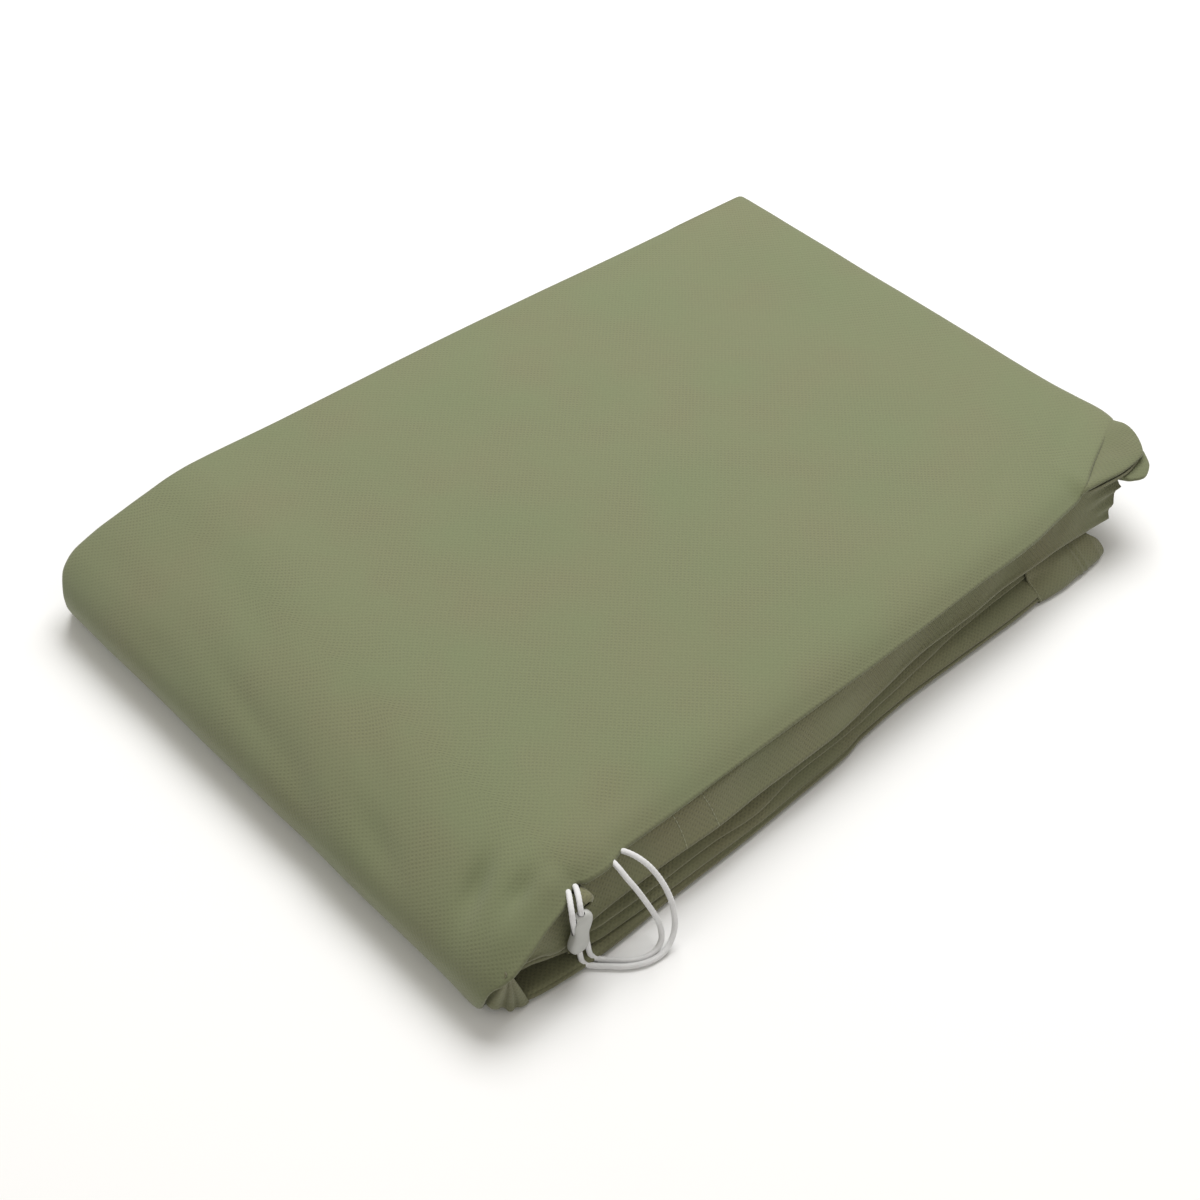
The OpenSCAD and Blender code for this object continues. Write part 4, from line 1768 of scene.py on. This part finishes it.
@dataclass
class Casing:
    """The rolled hem that holds the drawcord, with its stitches and the cord inside it."""

    cloth: float = 0.7
    slit_from: float = -146.0
    slit_to: float = -137.0
    stitch_pitch: float = 6.0

    def build(self, wardrobe: Wardrobe) -> list[bpy.types.Object]:
        """Build the casing, the stitches and the two strands inside.

        Args:
            wardrobe: The finishes.

        Returns:
            The pieces.
        """
        low, high = box_mm("hem_casing")
        centre_x, centre_z = (low[0] + high[0]) / 2, (low[2] + high[2]) / 2
        half_w, half_h = (high[0] - low[0]) / 2 - self.cloth / 2, (high[2] - low[2]) / 2 - self.cloth / 2
        nub_end = low[1] - 2.2
        fine_to = -130
        y = np.concatenate([np.linspace(nub_end, fine_to, 40, endpoint=False),
                            np.linspace(fine_to, high[1], 110)])
        slit = ease((y - self.slit_from + 1) / 2.5) * (1 - ease((y - self.slit_to) / 2.5))
        begin = 1.75 - 0.95 * slit
        finish = begin - 2 * math.pi - 0.5 + 2 * slit
        flare = 0.5 + 0.5 * ease((y - nub_end) / 1.8) ** 0.5
        flare = flare * (1 + 0.14 * ease((nub_end + 9 - y) / 5))
        rows = []
        for share in np.arange(40) / 39:
            angle = begin + (finish - begin) * share
            shrink = 1 - 0.16 * share * (1 - slit)
            c, s = np.cos(angle), np.sin(angle)
            rows.append(rail(centre_x + half_w * shrink * flare * np.sign(c) * np.abs(c) ** 0.75, y,
                             centre_z + half_h * shrink * flare * np.sign(s) * np.abs(s) ** 0.85))
        skin = np.stack(rows, axis=1)
        pinch = ripple(cloth_lengths(skin), (9, 14), 0.35, 61)
        skin = skin + facing(skin) * pinch[..., None]
        hem = thin_solid("hem_casing_cloth", skin, self.cloth)
        Sheet(("hem_casing",)).settle(hem, wardrobe, skin)
        s_low, s_high = box_mm("casing_stitches")
        seam_y = np.linspace(s_low[1], s_high[1], 120)
        seam = rail((s_low[0] + s_high[0]) / 2 + 0.15 * np.sin(seam_y), seam_y, high[2] + 0.15)
        row = StitchRow("casing_seam_stitches", ("casing_stitches",), pitch=self.stitch_pitch, thread=0.5)
        return [hem, row.build(wardrobe, seam), self.inner_cord(wardrobe)]

    def inner_cord(self, wardrobe: Wardrobe) -> bpy.types.Object:
        """Build the two strands that run inside the casing.

        Args:
            wardrobe: The finishes.

        Returns:
            The strands as one piece.
        """
        low, high = box_mm("casing_drawcord")
        radius = (high[2] - low[2]) / 2
        middle_z = (low[2] + high[2]) / 2
        sides = 12
        parts, flats = [], []
        for x in (low[0] + radius, high[0] - radius):
            path = smooth_path([(x, low[1], middle_z), (x, 0, middle_z), (x, high[1], middle_z)], 1.0)
            points, faces, flat = tube(path, Braid(radius).relief(path, sides))
            parts.append((points, faces.tolist() + end_caps(len(path), sides)))
            flats.append(flat)
        points, faces = join_parts(parts)
        piece = new_mesh("casing_cord_strands", points, faces)
        corner_uv(piece, np.concatenate(flats))
        wardrobe.dress(piece, Slot.CORD)
        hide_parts("casing_drawcord")
        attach(piece, Body.STACK.value)
        return piece


@dataclass(frozen=True)
class Braid:
    """Relief of a soft round braid."""

    radius: float
    pitch: float = 3.4
    carriers: int = 4
    relief_share: float = 0.07

    def relief(self, path: Array, sides: int) -> Array:
        """Work out the radius of each corner of each ring.

        Args:
            path: Middle of the cord.
            sides: Corners in a ring.

        Returns:
            Radii, rings by sides.
        """
        run = run_along(path)[:, None]
        angle = (np.arange(sides) * 2 * math.pi / sides)[None]
        twist = 2 * math.pi * run / self.pitch
        weave = np.sin(self.carriers * angle / 2 + twist) * np.sin(self.carriers * angle / 2 - twist)
        return self.radius * (1 - self.relief_share / 2 + self.relief_share * weave)


@dataclass
class Drawcord:
    """The cord's two free strands, in at the casing and out to the knot they share."""

    diameter: float = 2.5
    sides: int = 20
    spacing: float = 0.45
    knot_centre: Point = (-137.8, -136.8, 39.0)
    straight_at: tuple[float, ...] = (11.3, 5.0, -1.0, -7.0, -13.0, -17.6)
    left_exit: tuple[Point, ...] = (
        (-160.6, -136, 34.4), (-160.6, -138, 34.4), (-161, -141.5, 36), (-162.2, -145, 38.3),
        (-164.6, -148.7, 39), (-166.3, -151.3, 38.2), (-167.4, -153.1, 36.5))
    left_loop: tuple[Point, ...] = (
        (-163.4, -154.4, 3.7), (-162, -156, 2), (-159.8, -158.2, 1.4), (-156, -161.8, 1.4),
        (-151.8, -165.8, 1.4), (-147, -169.1, 1.4), (-141.8, -171.1, 1.4), (-136.4, -171.7, 1.6),
        (-131.2, -171, 3.6), (-127.4, -169.4, 7.6), (-125.4, -167, 13.4), (-124.8, -163.8, 20.4),
        (-125.8, -159.4, 28.2), (-128, -154.4, 34.8), (-130.2, -150, 38), (-132.2, -145.8, 39),
        (-134.2, -142.2, 38.9), (-136.2, -139.4, 39))
    right_exit: tuple[Point, ...] = (
        (-157.4, -136, 34.4), (-157.4, -138, 34.4), (-157.6, -141.5, 36), (-158.4, -145, 38.3),
        (-160.4, -148.7, 39), (-162, -151.3, 38.4), (-163.1, -153.1, 36.9))
    right_loop: tuple[Point, ...] = (
        (-159, -154.4, 4.2), (-157.6, -155.8, 2.2), (-155.4, -157.8, 1.4), (-151.6, -161.7, 1.4),
        (-146.9, -165.9, 1.4), (-141.8, -168.4, 1.4), (-136.8, -168.9, 1.9), (-133.2, -168, 4.6),
        (-131.8, -166, 9), (-132.4, -163.6, 14.8), (-134.4, -160.6, 22), (-137, -157, 30),
        (-138.8, -153, 35.2), (-139.4, -149.6, 38), (-139.4, -145.8, 38.9), (-139.2, -142.4, 38.9),
        (-138.8, -139.4, 39))

    def straight(self, side: int) -> list[Point]:
        """Place the straight stretch through one hole of the lock.

        Args:
            side: -1 for the left hole and 1 for the right one.

        Returns:
            Its points, from above the lock down.
        """
        lean = math.radians(LOCK_LEAN)
        up = Vector((math.sin(lean), 0, math.cos(lean)))
        across = Vector((math.cos(lean), 0, -math.sin(lean)))
        middle = Vector(LOCK_CENTRE) + side * STRAND_GAP / 2 * across
        return [tuple(middle + t * up) for t in self.straight_at]

    def strand(self, wardrobe: Wardrobe, name: str, node: str, route: list[Point]) -> bpy.types.Object:
        """Args:
            wardrobe: The finishes.
            name: Name of the piece.
            node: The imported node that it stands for.
            route: Points of the strand's middle.

        Returns:
            The strand.
        """
        path = smooth_path(route, self.spacing)
        points, faces, flat = tube(path, Braid(self.diameter / 2).relief(path, self.sides))
        piece = new_mesh(name, points, faces.tolist() + end_caps(len(path), self.sides))
        corner_uv(piece, flat)
        wardrobe.dress(piece, Slot.CORD)
        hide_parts(node)
        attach(piece, Body.STACK.value)
        return piece

    def knot(self, wardrobe: Wardrobe) -> bpy.types.Object:
        """Build the overhand knot that joins the strands' ends.

        Args:
            wardrobe: The finishes.

        Returns:
            The knot.
        """
        radius = (box_mm("cord_end_knot")[1] - box_mm("cord_end_knot")[0])[0] / 2
        yarn = self.diameter * 0.42
        size = (radius + 0.4 - yarn) / 3
        t = np.linspace(0, 2 * math.pi, 96, endpoint=False)
        path = np.stack([(np.sin(t) + 2 * np.sin(2 * t)) * size, (np.cos(t) - 2 * np.cos(2 * t)) * size,
                         -np.sin(3 * t) * size * 1.5], axis=1) + np.array(self.knot_centre)
        points, faces, flat = tube(path, Braid(yarn).relief(path, 14), closed=True)
        piece = new_mesh("end_knot", points, faces.tolist())
        corner_uv(piece, flat)
        wardrobe.dress(piece, Slot.CORD)
        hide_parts("cord_end_knot")
        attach(piece, Body.STACK.value)
        return piece

    def build(self, wardrobe: Wardrobe, lock: bpy.types.Object) -> list[bpy.types.Object]:
        """Build both strands and their knot.

        Args:
            wardrobe: The finishes.
            lock: The cord lock, which is threaded on the strands; not used.

        Returns:
            The pieces.
        """
        knot = self.knot(wardrobe)
        left = [*self.left_exit, *self.straight(-1), *self.left_loop]
        right = [*self.right_exit, *self.straight(1), *self.right_loop]
        return [self.strand(wardrobe, "drawcord_strand_left", "drawcord_left", left),
                self.strand(wardrobe, "drawcord_strand_right", "drawcord_right", right), knot]


@dataclass
class CordLock:
    """The bean-shaped lock with a hole for each strand."""

    length: float = 22.0
    width: float = 9.8
    thickness: float = 5.4
    lobe_shift: float = 1.9
    waist: float = 0.16
    hole: float = 3.1

    def body(self) -> bpy.types.Object:
        """Make the solid bean, upright at the origin.

        Returns:
            The bean.
        """
        rings, sides = 40, 48
        corners = []
        straight = (self.length - self.width) / 2
        for i in range(rings):
            share = -1 + 2 * (i + 0.5) / rings
            z = math.sin(share * math.pi / 2) * self.length / 2
            beyond = max(0.0, abs(z) - straight) / (self.width / 2)
            half = self.width / 2 * math.sqrt(max(0.0, 1 - beyond ** 2))
            half *= 1 - self.waist * math.exp(-(z / 3.2) ** 2)
            thick = self.thickness / 2 * (1 - beyond ** 4) ** 0.5
            shift = self.lobe_shift * math.tanh(z / 4)
            for k in range(sides):
                a = 2 * math.pi * k / sides
                c, s = math.cos(a), math.sin(a)
                corners.append((shift + half * math.copysign(abs(c) ** 0.8, c),
                                max(thick, 0.3) * math.copysign(abs(s) ** 0.62, s), z))
        number = np.arange(rings * sides).reshape(rings, sides)
        low, high = number[:-1], number[1:]
        faces = np.stack([low, np.roll(low, -1, axis=1), np.roll(high, -1, axis=1), high], axis=2)
        shell = faces.reshape(-1, 4).tolist() + end_caps(rings, sides)
        return new_mesh("lock_body", np.array(corners), shell)

    def build(self, wardrobe: Wardrobe) -> bpy.types.Object:
        """Build the lock, drill it and put it on its body.

        Args:
            wardrobe: The finishes.

        Returns:
            The lock.
        """
        bean = self.body()
        rings, sides = 9, 28
        for side in (-1, 1):
            path = np.array([(side * STRAND_GAP / 2, 0, z) for z in np.linspace(-16, 16, rings)])
            points, faces, _ = tube(path, np.full((rings, sides), self.hole / 2))
            drill = new_mesh("drill", points, faces.tolist() + end_caps(rings, sides))
            cut = bean.modifiers.new("strand_hole", "BOOLEAN")
            cut.operation, cut.solver, cut.object = "DIFFERENCE", "EXACT", drill
            bpy.context.view_layer.update()
            ready = bean.evaluated_get(bpy.context.evaluated_depsgraph_get())
            drilled = bpy.data.meshes.new_from_object(ready)
            bean.modifiers.clear()
            bean.data = drilled
            bpy.data.objects.remove(drill)
        turn = Matrix.Rotation(math.radians(LOCK_LEAN), 4, "Y")
        bean.data.transform(Matrix.Translation(Vector(LOCK_CENTRE) * MM) @ turn)
        bean.name = bean.data.name = "two_hole_cord_lock"
        bean.data.polygons.foreach_set("use_smooth", [True] * len(bean.data.polygons))
        bean.data.set_sharp_from_angle(angle=math.radians(40))
        wardrobe.dress(bean, Slot.LOCK)
        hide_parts("cord_lock")
        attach(bean, Body.LOCK.value)
        log.info("%s: %.0f mm long", bean.name, self.length)
        return bean


# ---------------------------------------------------------------------------------------------
# Studio


@dataclass
class Studio:
    """Camera, lights and floor."""

    target: Point = (-33.0, -20.0, 20.0)
    distance: float = 996.0
    azimuth: float = -42.0
    elevation: float = 45.0
    lens: float = 66.0

    def camera(self) -> bpy.types.Object:
        """Place the camera and make it the scene's.

        Returns:
            The camera.
        """
        a, e = math.radians(self.azimuth), math.radians(self.elevation)
        back = Vector((math.sin(a) * math.cos(e), -math.cos(a) * math.cos(e), math.sin(e)))
        data = bpy.data.cameras.new("studio_camera")
        data.lens, data.sensor_width = self.lens, 36
        data.clip_start, data.clip_end = 0.05, 20
        camera = bpy.data.objects.new("studio_camera", data)
        camera.location = (Vector(self.target) + self.distance * back) * MM
        camera.rotation_euler = back.to_track_quat("Z", "Y").to_euler()
        bpy.context.scene.collection.objects.link(camera)
        bpy.context.scene.camera = camera
        return camera

    def lamp(self, name: str, place: Point, size: float, watts: float) -> bpy.types.Object:
        """Hang one soft square lamp, aimed at the sack.

        Args:
            name: Name of the lamp.
            place: Its place in metres.
            size: Length of its side in metres.
            watts: Its power.

        Returns:
            The lamp.
        """
        data = bpy.data.lights.new(name, "AREA")
        data.shape, data.size, data.energy = "SQUARE", size, watts
        lamp = bpy.data.objects.new(name, data)
        lamp.location = place
        lamp.rotation_euler = Vector(place).to_track_quat("Z", "Y").to_euler()
        bpy.context.scene.collection.objects.link(lamp)
        return lamp

    def build(self) -> None:
        """Set up the camera, the lamps, the sky and the floor."""
        self.camera()
        self.lamp("key_lamp", (0.75, 0.5, 1.7), 1.3, 37.5)
        self.lamp("side_lamp", (-1.5, 0.3, 1.1), 1.2, 3.2)
        self.lamp("front_lamp", (0.1, -1.7, 0.9), 1.2, 1.5)
        world = bpy.data.worlds.new("soft_sky")
        world.use_nodes = True
        sky = world.node_tree.nodes["Background"]
        sky.label = "Even soft light"
        sky.inputs["Color"].default_value = (1, 0.96, 0.88, 1)
        sky.inputs["Strength"].default_value = 0.42
        bpy.context.scene.world = world
        bpy.context.scene.view_settings.view_transform = "Standard"
        floor_level = CAD_BOX[0][2] - 0.0002
        mesh = bpy.data.meshes.new("floor")
        maker = bmesh.new()
        bmesh.ops.create_grid(maker, x_segments=8, y_segments=8, size=6)
        maker.to_mesh(mesh)
        maker.free()
        floor = bpy.data.objects.new("floor", mesh)
        floor.location = (0, 0, floor_level)
        floor.data.materials.append(PaleFloor().material())
        bpy.context.scene.collection.objects.link(floor)


def lining(wardrobe: Wardrobe) -> bpy.types.Object:
    """Build the cover's second ply, just inside its lip.

    Args:
        wardrobe: The finishes.

    Returns:
        The ply.
    """
    low, high = box_mm("cover_inner_ply")
    near = ((-124, -135.7), (30, -133.6), (94, -132.0), (130, -131), (157, -128.8), (166, -133.2),
            (180, -136.2), (192, -137.2), (203, -135.2))
    leaf = FoldedLeaf(
        "cover_lining_ply", Sheet(("cover_inner_ply",), Body.COVER), near=near,
        lip=((-124, 40.7), (150, 40.7), (166, 40.2), (198, 39.9)), top=high[2] - 1.4,
        under=low[2] + 0.5, left=low[0], right=high[0] - 6, near_left=low[0] + 12, near_right=203,
        back_inset=9, recess=1.2, shoulder=-0.9, lip_roll=0.6, station=4, seed=17, unevenness=0.25)
    return leaf.build(wardrobe)


def main() -> None:
    """Build the studio and then the sack, the lock and its cords first."""
    logging.basicConfig(level=logging.INFO, format="%(message)s")
    Studio().build()
    wardrobe = Wardrobe()
    lock = CordLock().build(wardrobe)
    Drawcord().build(wardrobe, lock)
    Casing().build(wardrobe)
    LowerLeaves().build(wardrobe)
    Bundle().build(wardrobe)
    SeamFlap().build(wardrobe)
    FrontCorner().build(wardrobe)
    CoverCloth().build(wardrobe)
    lining(wardrobe)
    CornerTuck().build(wardrobe)


if __name__ == "__main__":
    main()
